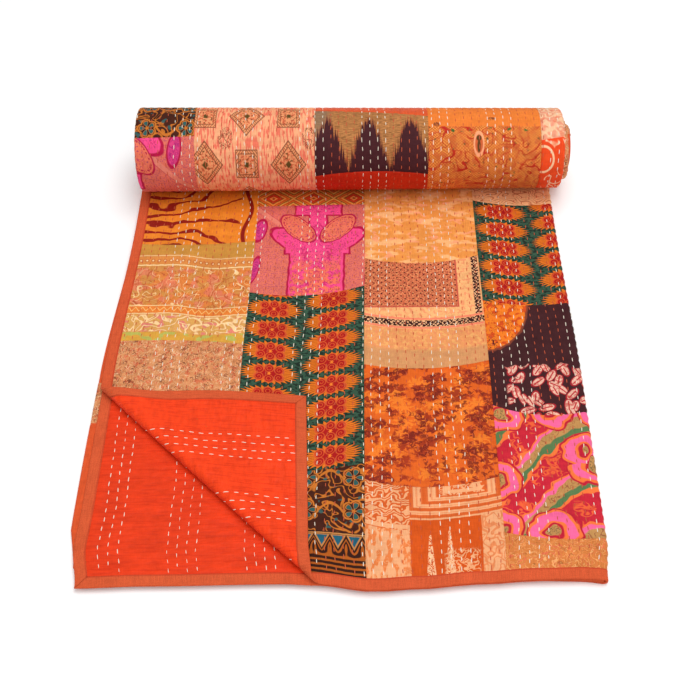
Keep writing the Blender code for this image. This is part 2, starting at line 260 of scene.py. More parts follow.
def new_material(name, roughness):
    """A material with only its Principled shader, and that shader's node and tree."""
    material = bpy.data.materials.new(name)
    material.use_nodes = True
    shader = material.node_tree.nodes["Principled BSDF"]
    shader.inputs["Roughness"].default_value = roughness
    shader.inputs["Specular IOR Level"].default_value = 0.08
    return material, shader, material.node_tree


class Field:
    """A number at every point of a cloth, worked out by shader nodes. Plain arithmetic works on it."""

    def __init__(self, tree, socket):
        self.tree, self.socket = tree, socket

    def math(self, operation, *others):
        return worked(self.tree, operation, self, *others)

    def __add__(self, other):
        return worked(self.tree, "ADD", self, other)

    def __sub__(self, other):
        return worked(self.tree, "SUBTRACT", self, other)

    def __rsub__(self, other):
        return worked(self.tree, "SUBTRACT", other, self)

    def __mul__(self, other):
        return worked(self.tree, "MULTIPLY", self, other)

    def __truediv__(self, other):
        return worked(self.tree, "DIVIDE", self, other)

    def __neg__(self):
        return worked(self.tree, "SUBTRACT", 0.0, self)

    def __abs__(self):
        return worked(self.tree, "ABSOLUTE", self)

    __radd__, __rmul__ = __add__, __mul__


def feed(tree, slot, value):
    """Puts a field, a socket or a plain value into a node's input."""
    if isinstance(value, Field):
        tree.links.new(value.socket, slot)
    elif isinstance(value, bpy.types.NodeSocket):
        tree.links.new(value, slot)
    else:
        slot.default_value = value


def worked(tree, operation, *terms):
    """The field that a math node gives for these fields or numbers."""
    node = tree.nodes.new("ShaderNodeMath")
    node.operation = operation
    for slot, term in zip(node.inputs, terms):
        feed(tree, slot, term)
    return Field(tree, node.outputs[0])


def flat_place(tree):
    """The cloth's flat place across and along the quilt, in millimetres."""
    place = tree.nodes.new("ShaderNodeUVMap")
    place.uv_map = "flat"
    split = tree.nodes.new("ShaderNodeSeparateXYZ")
    tree.links.new(place.outputs["UV"], split.inputs[0])
    return Field(tree, split.outputs["X"]) * 1000.0, Field(tree, split.outputs["Y"]) * 1000.0


def point(x, y):
    """Two fields as one vector socket."""
    node = x.tree.nodes.new("ShaderNodeCombineXYZ")
    feed(x.tree, node.inputs["X"], x)
    feed(x.tree, node.inputs["Y"], y)
    return node.outputs[0]


def cloud(x, y, size, detail=1.0):
    """Soft random patches of about this size, from 0 to 1."""
    node = x.tree.nodes.new("ShaderNodeTexNoise")
    node.noise_dimensions = "2D"
    x.tree.links.new(point(x, y), node.inputs["Vector"])
    node.inputs["Scale"].default_value = 1.0 / size
    node.inputs["Detail"].default_value = detail
    return Field(x.tree, node.outputs[0])


def painted(under, colour, mask):
    """A colour laid over another where the mask is 1."""
    node = mask.tree.nodes.new("ShaderNodeMix")
    node.data_type = "RGBA"
    feed(mask.tree, node.inputs["Factor"], mask)
    feed(mask.tree, node.inputs[6], under)
    feed(mask.tree, node.inputs[7], colour)
    return node.outputs[2]


def dye(red, green, blue):
    """A colour from its screen values, 0 to 255."""
    shares = [part / 255 for part in (red, green, blue)]
    return (*[s / 12.92 if s <= 0.04045 else ((s + 0.055) / 1.055) ** 2.4 for s in shares], 1.0)


def cotton_filling():
    """Carded cotton in the orange of the backing, lumpy and soft."""
    material, shader, tree = new_material("filling", 0.9)
    u, v = flat_place(tree)
    colour = painted(dye(206, 104, 52), dye(188, 84, 40), cloud(u, v, 6.0, 4.0))
    feed(tree, shader.inputs["Base Color"], colour)
    return material


def quilt_body():
    """The closed sheet inside the quilt."""
    bm = bmesh.new()
    bmesh.ops.create_cube(bm, size=1.0)
    bmesh.ops.scale(bm, vec=(QUILT_WIDTH, QUILT_LENGTH, BODY_TOP - BODY_BOTTOM), verts=bm.verts[:])
    centre = (QUILT_WIDTH / 2, QUILT_LENGTH / 2, (BODY_TOP + BODY_BOTTOM) / 2)
    bmesh.ops.translate(bm, vec=centre, verts=bm.verts[:])
    cut_along(bm, PLAIN_U, PLAIN_V, CREASE_DEPTHS)
    return finish_cloth(bm, "quilt_body", cotton_filling())


body = quilt_body()
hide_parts("quilt")


# The backing: plain orange silk, one seamless cloth under the whole quilt. It shows where the corner is
# turned back, on the flap and on the second layer, and the quilting pulls it in along every row of stitches.

ROW_SPACING = 0.010483
FIRST_ROW = 0.05925
STITCH_PITCH = 0.0114
ROW_DEPTH, PUFF_HEIGHT = 0.00036, 0.00042
FOLD_MIDDLE, FOLD_REACH, FOLD_PUFF = TOP_RUN + math.pi * OUTER_BEND / 2, 0.009, 0.0008
FINE_U = ROW_SPACING / 4
FINE_V = STITCH_PITCH / 4
SEAM_DEPTH, SEAM_PUFF_SHARE = 0.00035, 0.4
RESTING_U = 0.578
BINDING_WIDTH, BINDING_EASE, PRESSED_DEPTH = 0.0127, 0.0006, 0.00042
EDGE_IN = 0.0004
CORNER_END_U, CORNER_END_V = 0.300, 0.300
UNDER_CORNER_U = 1.978


def row_phase(row):
    """Where along its pitch the stitches of a row begin, different for each row."""
    return (row * 0.381 + 0.17 * np.sin(row * 2.3)) % 1.0


def row_stray(u, v):
    """How far the hand-sewn rows stray from straight lines, most of all near the turned-back corner."""
    near_corner = (1 - ease(0.02, 0.24, v)) * (1 - ease(0.15, 0.32, u))
    waver = 0.0007 * np.sin(33 * v + 9 * u) + 0.0004 * np.sin(81 * v + 40 * u + 1.0)
    return waver + 0.0055 * near_corner


def quilting(u, v):
    """How far the quilted cloth stands out: it puffs between the rows and dips along them."""
    straight = u - row_stray(u, v)
    row = np.round((straight - FIRST_ROW) / ROW_SPACING)
    off = np.abs(straight - FIRST_ROW - row * ROW_SPACING)
    furrow = np.exp(-((off / 0.0025) ** 2))
    along = np.cos(2 * math.pi * (v / STITCH_PITCH + row_phase(row)))
    crinkle = np.sin(410 * v + 60 * u + 2.2 * np.sin(95 * u))
    crinkle += 0.7 * np.sin(733 * v - 140 * u + 1.7 * np.sin(61 * v))
    crinkle += 0.6 * np.sin(290 * u + 170 * v + 1.9 * np.sin(120 * v))
    puff = PUFF_HEIGHT * (0.75 + 0.14 * crinkle)
    at_fold = np.exp(-(((u - FOLD_MIDDLE) / FOLD_REACH) ** 2)) * (0.5 - 0.5 * along)
    return puff * (1 - furrow) - ROW_DEPTH * furrow * (0.72 + 0.28 * along) + FOLD_PUFF * at_fold


def silk_ripples(u, v):
    """The loose ripples of the silk of the second layer, which run across its rows of stitches."""
    phase = 2 * math.pi * (v / 0.0137 + 0.30 * np.sin(38 * u) + 0.22 * np.sin(91 * u + 40 * v))
    swell = 0.5 + 0.5 * np.sin(23 * u + 17 * v + 1.3)
    return np.where(u > UNDER_CORNER_U, 0.00045 * swell * (1 + np.sin(phase)), 0.0)


def fine_lines(start, end, step, anchor):
    """Lines at every step from the anchor, between start and end."""
    first = math.floor((start - anchor) / step)
    return [anchor + k * step for k in range(first, math.ceil((end - anchor) / step) + 1)]


def quilt_face(bm, height, fine):
    """Gives a flat piece its lines and lifts it to a face of the quilt, quilted and sunk at its own edges."""
    places = flat_points(bm)
    low, high = places.min(axis=0), places.max(axis=0)
    if fine:
        u_lines = fine_lines(low[0], high[0], FINE_U, FIRST_ROW) + fold_lines()
        cut_along(bm, sorted(u_lines), fine_lines(low[1], high[1], FINE_V, 0.0))
    else:
        cut_along(bm, PLAIN_U, PLAIN_V, CREASE_DEPTHS if low[0] + low[1] < CREASE_LEG else ())
    places = flat_points(bm)
    u, v = places[:, 0], places[:, 1]
    way = math.copysign(1.0, height)
    stand_out = quilting(u, v) if fine else np.zeros_like(u)
    if fine and height < 0:
        stand_out = stand_out + silk_ripples(u, v)
    edge = np.array([vert.is_boundary for vert in bm.verts])
    stand_out = np.where(edge, stand_out * SEAM_PUFF_SHARE - SEAM_DEPTH, stand_out)
    bound = np.minimum(np.minimum(u, v), QUILT_WIDTH - u) < BINDING_WIDTH + BINDING_EASE
    stand_out = np.where(bound, -PRESSED_DEPTH, stand_out)
    stand_out = np.where((u > RESTING_U) & (v < ROLL_Y), np.minimum(stand_out, 0.0), stand_out)
    for vert, rise in zip(bm.verts, stand_out):
        vert.co.z = height + way * rise


def flat_piece(points):
    """A flat piece of cloth with this outline, facing the patchwork side."""
    bm = bmesh.new()
    bm.faces.new([bm.verts.new((u, v, 0)) for u, v in points])
    bmesh.ops.recalc_face_normals(bm, faces=bm.faces[:])
    if bm.faces[:][0].normal.z < 0:
        bmesh.ops.reverse_faces(bm, faces=bm.faces[:])
    return bm


def rectangle(left, right, near, far):
    return [(left, near), (right, near), (right, far), (left, far)]


def inside(value, edge, soft=0.5):
    """1 where the value is below the edge and 0 where it is above, with a soft step between."""
    node = value.tree.nodes.new("ShaderNodeMapRange")
    node.interpolation_type = "SMOOTHSTEP"
    feed(value.tree, node.inputs["Value"], value)
    node.inputs["From Min"].default_value = edge - soft
    node.inputs["From Max"].default_value = edge + soft
    node.inputs["To Min"].default_value = 1.0
    node.inputs["To Max"].default_value = 0.0
    return Field(value.tree, node.outputs[0])


def between(value, low, high, soft=0.5):
    """1 where the value lies between low and high."""
    return inside(abs(value - (low + high) / 2), (high - low) / 2, soft)


def woven_cloth():
    """The shader group that every cloth ends with: slubs, wear and puckers over a printed colour, with
    painted shade of the puckers.
    """
    group = bpy.data.node_groups.new("woven_cloth", "ShaderNodeTree")
    for name, kind in (("Colour", "Color"), ("Slubs", "Float"), ("Creases", "Float")):
        group.interface.new_socket(name=name, in_out="INPUT", socket_type="NodeSocket" + kind)
    group.interface.new_socket(name="Colour", in_out="OUTPUT", socket_type="NodeSocketColor")
    group.interface.new_socket(name="Normal", in_out="OUTPUT", socket_type="NodeSocketVector")
    given, results = group.nodes.new("NodeGroupInput"), group.nodes.new("NodeGroupOutput")
    slubs, creases = Field(group, given.outputs["Slubs"]), Field(group, given.outputs["Creases"])
    u, v = flat_place(group)
    weft = cloud(u, v / 14.0, 0.9) - 0.5
    warp = (cloud(u / 14.0, v, 0.9) - 0.5) * 0.5
    wear = cloud(u, v, 34.0, 3.0) - 0.5
    pucker = cloud(u / 2.4, v, 4.6, 2.0) - 0.5
    thread = (u * (math.pi / 0.5)).math("SINE") * (v * (math.pi / 0.5)).math("SINE")
    ripple = cloud(u / 3.5, v, 11.0, 2.0) - 0.5
    # Slubs and wear are the cloth's own tone; the pucker and ripple term darkens the colour as painted shade
    # of the relief.
    tone_and_painted_shade = (weft + warp) * slubs * 0.45 + wear * 0.24 + (pucker + ripple) * creases * 0.16 + 1.0
    shaded = group.nodes.new("ShaderNodeVectorMath")
    shaded.operation = "SCALE"
    feed(group, shaded.inputs[0], given.outputs["Colour"])
    feed(group, shaded.inputs["Scale"], tone_and_painted_shade)
    relief = (weft + warp) * slubs * 0.22 + (pucker + ripple * 2.2) * creases * 0.85 + thread * 0.05
    bump = group.nodes.new("ShaderNodeBump")
    bump.inputs["Strength"].default_value = 0.55
    bump.inputs["Distance"].default_value = 0.0010
    feed(group, bump.inputs["Height"], relief)
    group.links.new(shaded.outputs[0], results.inputs["Colour"])
    group.links.new(bump.outputs[0], results.inputs["Normal"])
    return group


WOVEN_CLOTH = woven_cloth()


def cloth_material(name, design, roughness=0.75, slubs=0.8, creases=1.0, sheen=0.0):
    """A cloth whose colour at a flat place in millimetres is what the design gives."""
    material, shader, tree = new_material(name, roughness)
    woven = tree.nodes.new("ShaderNodeGroup")
    woven.node_tree = WOVEN_CLOTH
    feed(tree, woven.inputs["Colour"], design(*flat_place(tree)))
    woven.inputs["Slubs"].default_value = slubs
    woven.inputs["Creases"].default_value = creases
    tree.links.new(woven.outputs["Colour"], shader.inputs["Base Color"])
    tree.links.new(woven.outputs["Normal"], shader.inputs["Normal"])
    shader.inputs["Sheen Weight"].default_value = sheen
    shader.inputs["Sheen Roughness"].default_value = 0.5
    return material


def orange_silk(u, v):
    """Plain orange with the darker streaks of hand-reeled silk, and painted shade that makes the second layer
    less bright.
    """
    second_layer = inside(-u, -1900.0, 1.0)
    slubs = cloud(u, v / 16.0, 1.8, 2.0) * (1.0 - second_layer) + cloud(u / 16.0, v, 2.4, 2.0) * second_layer
    colour = painted(dye(240, 66, 24), dye(206, 46, 18), inside(slubs, 0.42, 0.08) * 0.5)
    # Painted shade: the silk of the second layer is darkened for the shade that falls on it.
    return painted(colour, dye(202, 50, 20), second_layer * 0.45)


def backing():
    """The two corners that show, finely quilted, and the rest of the cloth."""
    material = cloth_material("orange_silk", orange_silk, 0.42, 0.32, 1.8, 0.04)
    far_edge, right_edge = QUILT_LENGTH - EDGE_IN, QUILT_WIDTH - EDGE_IN
    pieces = (
        ("backing_turned_corner", EDGE_IN, CORNER_END_U, EDGE_IN, CORNER_END_V, True),
        ("backing_under_corner", UNDER_CORNER_U, right_edge, EDGE_IN, CORNER_END_V, True),
        ("backing_near", CORNER_END_U, UNDER_CORNER_U, EDGE_IN, CORNER_END_V, False),
        ("backing_far", EDGE_IN, right_edge, CORNER_END_V, far_edge, False),
    )
    made = []
    for name, left, right, near, far, fine in pieces:
        bm = flat_piece(rectangle(left, right, near, far))
        bmesh.ops.reverse_faces(bm, faces=bm.faces[:])
        quilt_face(bm, -CLOTH_HALF, fine)
        made.append(finish_cloth(bm, name, material))
    return made


on_the_quilt = backing()


# The patchwork: fifteen columns of old printed cloths, six inches wide and sewn end to end, with a seam
# wherever two cloths meet. Each cloth below says which places of the patchwork it fills.

COLUMN_EDGES = (
    0.0004, 0.165, 0.313, 0.463, 0.607, 0.757, 0.909, 1.070, 1.222,
    1.374, 1.526, 1.678, 1.830, 1.982, 2.134, 2.2856,
)
NEAR_SEAM, FAR_SEAM = (0.0004,) * 3, (1.5236,) * 3
SEAM_HEIGHTS = (
    # v of the seams across each column from the near end: one for a level seam, or else three, at the
    # left edge, middle and right edge of the column
    (
        0.18, (0.333, 0.334, 0.327), (0.502, 0.4985, 0.505), 0.69, 0.86, 1.03,
        1.21,
    ),
    (
        (0.133, 0.139, 0.151), (0.4135, 0.4075, 0.424), (0.571, 0.573, 0.574), 0.655, 0.82,
        1.16,
    ),
    (
        (0.130, 0.1196, 0.133), (0.295, 0.288, 0.300), (0.4725, 0.4625, 0.4756), 0.66, 0.85,
        1.20,
    ),
    (
        (0.059, 0.048, 0.058), (0.232, 0.217, 0.236), (0.397, 0.3885, 0.402), (0.580, 0.569, 0.583),
        0.640, (0.815, 0.822, 0.832), 0.960, 1.32,
    ),
    (0.17, 0.33, 0.50, (0.70, 0.695, 0.70), 0.97, 1.14, 1.32),
    (
        0.16, 0.35, 0.52, 0.64, (0.795, 0.786, 0.783), (0.876, 0.871, 0.878),
        1.01, 1.18, 1.35,
    ),
    (0.19, 0.36, 0.56, (0.72, 0.723, 0.72), 0.985, 1.15, 1.34),
    (0.19, 0.255, 0.45, 0.62, (0.8255, 0.828, 0.829), 1.0, 1.26),
    (0.17, 0.40, 0.64, 0.90, 1.16, 1.36),
    (0.21, 0.38, 0.61, 0.86, 1.07, 1.33),
    (0.15, 0.33, 0.58, 0.81, 1.12, 1.31),
    (0.19, 0.44, 0.66, 0.84, 1.09, 1.35),
    (0.16, 0.36, 0.63, 0.88, 1.14, 1.30),
    (0.22, 0.41, 0.59, 0.85, 1.10, 1.34),
    (0.18, 0.39, 0.62, 0.87, 1.13, 1.32),
)
COLUMN_SEAMS = [
    [seam if isinstance(seam, tuple) else (seam,) * 3 for seam in column]
    for column in SEAM_HEIGHTS
]
LAST_SHOWN_V, ROLL_SHOWN = 0.645, (0.56, 1.0)
LAY_COLUMNS, ROLL_COLUMNS = range(4), range(3, 8)
places_left = {(col, row) for col, seams in enumerate(COLUMN_SEAMS) for row in range(len(seams) + 1)}


def seam_points(left, right, seam, parts=8):
    """Points of a seam across a column, on a curve through its three heights."""
    start, middle_v, end = seam
    shares = [k / parts for k in range(parts + 1)]
    bow = 4 * (middle_v - (start + end) / 2)
    return [(left + (right - left) * s, start + (end - start) * s + bow * s * (1 - s)) for s in shares]


def patch(col, row):
    """The patch at this place of the patchwork, as a flat quilted mesh."""
    places_left.remove((col, row))
    seams = (NEAR_SEAM, *COLUMN_SEAMS[col], FAR_SEAM)
    near, far = seams[row], seams[row + 1]
    left, right = COLUMN_EDGES[col], COLUMN_EDGES[col + 1]
    bm = flat_piece(seam_points(left, right, near) + seam_points(left, right, far)[::-1])
    on_lay = col in LAY_COLUMNS and near[1] < LAST_SHOWN_V
    on_roll = col in ROLL_COLUMNS and far[1] > ROLL_SHOWN[0] and near[1] < ROLL_SHOWN[1]
    quilt_face(bm, CLOTH_HALF, fine=on_lay or on_roll)
    return bm


def lay_patches(name, material, *places):
    """Sews patches of one cloth into their places."""
    joined = bmesh.new()
    for col, row in places:
        bm = patch(col, row)
        spare = bpy.data.meshes.new("spare")
        bm.to_mesh(spare)
        bm.free()
        joined.from_mesh(spare)
        bpy.data.meshes.remove(spare)
    on_the_quilt.append(finish_cloth(joined, name, material))


# Tiger-striped cloth: orange silk printed with dark red stripes that fan out from the left. Each of its
# patches is a cut piece of an old sari, sewn into its column with narrow seams, as those of every cloth are.

def reach(x, y):
    """How far a place is from the middle."""
    return (x * x + y * y).math("SQRT")


def repeated(value, pitch):
    """The value counted from the middle of each repeat of the pattern."""
    return value.math("WRAP", pitch / 2, -pitch / 2)


def tiger_stripes(u, v):
    across, up = u, v - 541.0
    sway = cloud(across / 1.5, up, 30.0) * 30.0 - 15.0 + (across / 24.0 + 0.6).math("SINE") * 3.2
    spread = (across / 100.0).math("POWER", 3.0) * 0.9 + 1.0
    off_line = abs(repeated((up + sway) / spread, 15.0)) * spread
    thick = cloud(across, up, 19.0) * 3.2 + inside(across, 40.0, 40.0) * 0.9 + 0.3
    stripes = inside(off_line - thick, 0.7, 0.4) * inside(across, 143.0, 5.0)
    upright = (up / 15.0).math("SINE") * 5.0 - (across - 152.0)
    stripes = stripes.math("MAXIMUM", inside(abs(upright), 2.8, 0.6))
    ground = painted(dye(232, 138, 44), dye(220, 116, 34), cloud(u, v, 22.0, 2.0))
    return painted(ground, dye(140, 30, 20), stripes)


lay_patches("cloth_tiger", cloth_material("tiger_print", tiger_stripes, 0.55), (0, 3), (9, 2), (12, 4))


# Border cloth: an old sari border in ochre, with rules, a row of small sprigs, a wide paisley ground and a
# scrolled edge in cream and rose.

def curls(x, y, size, width):
    """Thin curling lines that wander and meet, about this far apart."""
    drift_x = cloud(x, y, size * 1.6) * size * 3.4
    drift_y = cloud(x + 57.0, y - 31.0, size * 1.6) * size * 3.4
    swirl = cloud(x + drift_x, y + drift_y, size, 0.0) - 0.5
    return inside(abs(swirl), width, width * 0.6)


def gold_border(u, v):
    up = v - (u / 27.0).math("SINE") * 3.6 - (u / 11.0 + 1.0).math("SINE") * 0.9
    ochre, rust, cream = dye(198, 130, 58), dye(176, 82, 40), dye(244, 204, 148)
    colour = painted(ochre, dye(212, 144, 80), cloud(u, v, 10.0, 3.0))
    paisley = between(up, 388.0, 456.0, 1.2)
    warm = inside(cloud(u / 1.4, v, 15.0, 1.0), 0.50, 0.04)
    rose = inside(cloud(u + 83.0, v, 19.0, 1.0), 0.42, 0.04)
    colour = painted(colour, dye(224, 122, 58), warm * paisley * 0.7)
    colour = painted(colour, dye(222, 116, 100), rose * paisley * 0.55)
    arcs = abs(repeated(reach(repeated(u - 20.0, 66.0) * 0.8, up - 418.0), 8.5))
    colour = painted(colour, rust, inside(arcs + cloud(u, v, 6.0) * 2.4, 1.5, 0.5) * paisley * 0.7)
    colour = painted(colour, rust, curls(u, v, 11.0, 0.024) * paisley * 0.75)
    colour = painted(colour, cream, curls(u + 40.0, v / 1.3, 15.0, 0.017) * paisley * 0.9)
    small = between(up, 461.0, 474.0, 0.8)
    sprig = reach(repeated(u, 8.0), (up - 467.0) * 0.9)
    colour = painted(colour, dye(220, 134, 66), small * 0.7)
    colour = painted(colour, rust, inside(sprig, 2.6, 0.5) * small * 0.6)
    colour = painted(colour, cream, inside(sprig, 1.3, 0.5) * small)
    arch = abs(abs(repeated(u, 9.0)) * 1.4 - (up - 379.0) + 1.1)
    arches = between(up, 377.0, 388.0, 0.8)
    colour = painted(colour, dye(224, 124, 52), arches)
    colour = painted(colour, dye(242, 182, 108), inside(arch, 0.9, 0.4) * arches)
    scroll = between(up, 346.0, 374.0, 1.2)
    colour = painted(colour, dye(214, 158, 84), scroll)
    rosy = inside(cloud(u / 1.3, up, 12.0, 1.0), 0.42, 0.04)
    colour = painted(colour, dye(220, 118, 112), rosy * scroll * 0.85)
    thick_curls = curls(u, up / 0.9, 15.0, 0.075)
    colour = painted(colour, rust, curls(u, up / 0.9, 15.0, 0.105) * scroll * 0.6)
    colour = painted(colour, cream, thick_curls * scroll)
    foot = inside(up, 345.0, 1.0)
    colour = painted(colour, dye(212, 156, 62), foot)
    colour = painted(colour, dye(180, 176, 86), inside(cloud(u / 1.6, v, 9.0), 0.43, 0.05) * foot)
    for height, half in ((476.0, 0.5), (459.0, 1.0), (389.0, 0.6), (376.0, 0.7)):
        colour = painted(colour, cream, between(up, height - half, height + half, 0.4))
    return painted(colour, dye(196, 138, 58), inside(-up, -478.0, 1.5) * 0.85)


lay_patches("cloth_border", cloth_material("border_print", gold_border), (0, 2), (10, 3), (13, 1))


# Sprigged cloth: worn peach cotton covered with tiny brown sprigs. The print has faded unevenly, and red
# blotches show through it.

def small_sprigs(u, v):
    ground = painted(dye(224, 154, 102), dye(198, 122, 76), cloud(u, v, 9.0, 3.0))
    ground = painted(ground, dye(212, 92, 62), inside(cloud(u - 20.0, v, 7.0, 2.0), 0.41, 0.05) * 0.6)
    ground = painted(ground, dye(238, 190, 146), curls(u, v, 6.0, 0.040) * 0.7)
    brown = curls(u + 90.0, v, 4.6, 0.055) * inside(cloud(u, v, 13.0, 1.0), 0.56, 0.12)
    return painted(ground, dye(118, 62, 42), brown * 0.85)


SPRIG_PLACES = (0, 1), (3, 7), (7, 1), (11, 0), (14, 3)
lay_patches("cloth_sprigs", cloth_material("sprig_print", small_sprigs), *SPRIG_PLACES)


# Diamond cloth: printed silk with rows of lozenges inside one another, in orange, yellow and red, and thin
# brown rules between them.

def lozenges(u, v):
    across, up = repeated(u - 186.0, 56.0), repeated(v - 586.0, 42.0)
    steps = abs(across) * 0.75 + abs(up)
    ring = steps.math("WRAP", 9.0, 0.0)
    colour = painted(dye(228, 116, 42), dye(208, 62, 30), inside(steps, 9.5, 0.5))
    colour = painted(colour, dye(232, 106, 44), inside(steps, 4.5, 0.5))
    outer = inside(-steps, -15.0, 0.5)
    colour = painted(colour, dye(210, 140, 60), outer * inside(ring, 4.5, 0.4) * 0.8)
    colour = painted(colour, dye(122, 74, 30), between(ring, 0.0, 1.8, 0.4) * 0.8)
    colour = painted(colour, dye(190, 54, 32), between(ring, 5.6, 7.2, 0.4) * outer * 0.8)
    return painted(colour, dye(244, 190, 100), between(ring, 3.0, 4.0, 0.3) * 0.8)


lay_patches("cloth_lozenge", cloth_material("lozenge_print", lozenges), (1, 3), (8, 4), (14, 2))


# Rose cloth: silk in salmon with fine mauve dots, printed with a pink vase. Its two leaves and the paisleys
# beside it are outlined in crimson, as the vase is.

def turned(x, y, degrees):
    """A place seen from axes turned by this angle."""
    cosine, sine = math.cos(math.radians(degrees)), math.sin(math.radians(degrees))
    return x * cosine + y * sine, y * cosine - x * sine


def egg(x, y, centre, half_sizes, degrees):
    """Below 1 inside an oval with this centre, half sizes and turn."""
    along, over = turned(x - centre[0], y - centre[1], degrees)
    return reach(along / half_sizes[0], over / half_sizes[1])


def vase_edge(side, up):
    """Below 0 inside the vase: its trunk, step, shoulders, neck and cap."""
    trunk = (side - 35.0).math("MAXIMUM", up - 78.0)
    step = (side - 42.0).math("MAXIMUM", abs(up - 76.0) - 6.0)
    shoulder = (egg(side, up, (33.0, 93.0), (33.0, 15.0), 34.0) - 1.0) * 15.0
    neck = (side - 11.0).math("MAXIMUM", abs(up - 110.0) - 40.0)
    cap = (side - 31.0).math("MAXIMUM", abs(up - 155.0) - 13.0)
    return trunk.math("MINIMUM", step).math("MINIMUM", shoulder).math("MINIMUM", neck).math("MINIMUM", cap)


def pink_vase(u, v):
    on_lay = inside(v, 690.0, 0.1)
    across = (u - 249.5) * on_lay + (u - 1176.0) * (1.0 - on_lay)
    up = (v - 412.0) * on_lay + (v - 731.0) * (1.0 - on_lay)
    wobble = cloud(across, up, 12.0) * 3.0 - 1.5
    side = abs(across) + wobble
    outline, pink, salmon = dye(178, 22, 66), dye(238, 74, 132), dye(230, 116, 88)
    colour = painted(dye(226, 116, 88), dye(214, 104, 96), cloud(u, v, 12.0, 2.0))
    colour = painted(colour, dye(168, 70, 104), inside(cloud(u, v, 1.9, 0.0), 0.38, 0.06) * 0.65)
    sash = (up - 128.0) + across * 0.95 + 54.0
    on_left = inside(across, -34.0, 2.0)
    colour = painted(colour, dye(226, 132, 112), between(sash, -5.0, 5.0, 0.8) * on_left * 0.8)
    colour = painted(colour, outline, between(sash, 4.4, 5.6, 0.4) * on_left * 0.6)
    for centre, half_sizes in (
        ((-79.0, 112.0), (21.0, 9.0)),
        ((-82.0, 40.0), (24.0, 6.0)),
        ((72.0, 30.0), (20.0, 8.0)),
    ):
        oval = egg(across, up, centre, half_sizes, 80.0)
        colour = painted(colour, outline, inside(oval, 1.1, 0.05))
        colour = painted(colour, dye(214, 62, 122), inside(oval, 0.86, 0.05))
        colour = painted(colour, dye(172, 40, 110), inside(oval, 0.8, 0.1) * curls(u, v, 4.0, 0.10))
    vase = vase_edge(side, up)
    colour = painted(colour, outline, inside(vase, 2.7, 0.5))
    colour = painted(colour, pink, inside(vase, 0.0, 0.5))
    leaf = egg(side, up, (27.0, 116.0), (31.0, 15.5), 48.0)
    colour = painted(colour, outline, inside(leaf, 1.08, 0.03))
    colour = painted(colour, salmon, inside(leaf, 0.98, 0.03))
    beads = between(leaf, 0.78, 0.90, 0.02) * inside(cloud(u, v, 2.4, 0.0), 0.5, 0.05)
    colour = painted(colour, outline, beads * 0.9)
    in_vase = inside(vase, -3.0, 0.6)
    fill = in_vase.math("MAXIMUM", inside(leaf, 0.7, 0.05))
    warm_foot = inside(up, 58.0, 22.0) * inside(cloud(side, up, 8.0, 1.0), 0.56, 0.08) * in_vase
    colour = painted(colour, dye(236, 116, 78), warm_foot * 0.9)
    colour = painted(colour, dye(196, 34, 96), curls(side, up / 1.4, 8.5, 0.035) * fill * 0.75)
    return painted(colour, dye(136, 48, 96), inside(cloud(u + 31.0, v, 2.6, 0.0), 0.27, 0.05) * fill * 0.7)


lay_patches("cloth_rose", cloth_material("rose_print", pink_vase, 0.6), (1, 2), (7, 5), (11, 3))


# Flower cloth: cotton in dark green mottled with black, printed with rows of wide orange flowers. Their
# hearts are clusters of red curls round a small star, and each second column is half a step lower.

FLOWER_COLUMN, FLOWER_ROW = 74.9, 34.35


def orange_flowers(u, v):
    column = ((u - 198.9) / FLOWER_COLUMN + 0.5).math("FLOOR")
    odd = (column * 0.5).math("FRACT") * 2.0
    x = u - 198.9 - column * FLOWER_COLUMN
    y = repeated(v - 384.1 + odd * (FLOWER_ROW / 2) - x * (odd * 0.36 - 0.14), FLOWER_ROW)
    ground = painted(dye(54, 84, 66), dye(32, 46, 38), inside(cloud(u / 1.8, v, 3.2, 2.0), 0.47, 0.04))
    bearing = worked(u.tree, "ARCTAN2", y * 2.2, x)
    points = abs((bearing * 14.0).math("SINE"))
    fan = reach(x / 37.5, y / 16.4)
    ground = painted(ground, dye(34, 48, 38), inside(fan + points * 0.20, 1.07, 0.04))
    petals = inside(fan + points * 0.24, 1.0, 0.03)
    ground = painted(ground, dye(220, 114, 32), petals)
    veins = inside(abs((bearing * 14.0).math("COSINE")), 0.40, 0.14) * petals
    ground = painted(ground, dye(142, 50, 20), veins * inside(fan, 0.97, 0.05) * 0.9)
    red, line = dye(168, 26, 26), dye(226, 104, 46)
    outer_x, outer_y = abs(x) - 12.2, abs(y) - 5.4
    outer = reach(outer_x, outer_y)
    lobes = outer.math("MINIMUM", reach(x, abs(y) - 7.6))
    heart = lobes.math("MINIMUM", reach(x / 2.2, y) - 0.4)
    ground = painted(ground, line, inside(heart, 6.6, 0.4))
    ground = painted(ground, red, inside(heart, 5.9, 0.4))
    spiral = (lobes * 1.8 + worked(u.tree, "ARCTAN2", outer_y, outer_x)).math("SINE")
    curled = inside(-spiral, -0.74, 0.16) * inside(lobes, 5.9, 0.4)
    rims = between(lobes, 5.0, 5.7, 0.3) * inside(heart, 5.9, 0.4)
    ground = painted(ground, line, curled.math("MAXIMUM", rims) * 0.7)
    star = reach(x, y) + abs((worked(u.tree, "ARCTAN2", y, x) * 3.0).math("SINE")) * 1.6
    return painted(ground, dye(240, 128, 44), inside(star, 2.9, 0.4))


FLOWER_PLACES = (1, 1), (3, 3), (8, 1), (10, 4), (13, 3)
lay_patches("cloth_flowers", cloth_material("flower_print", orange_flowers), *FLOWER_PLACES)


# Vine cloth: cotton printed in dark brown, with orange vines round teal flowers. Its border has teal
# triangles that hang from a tan rule, and striped hills that level out below them.

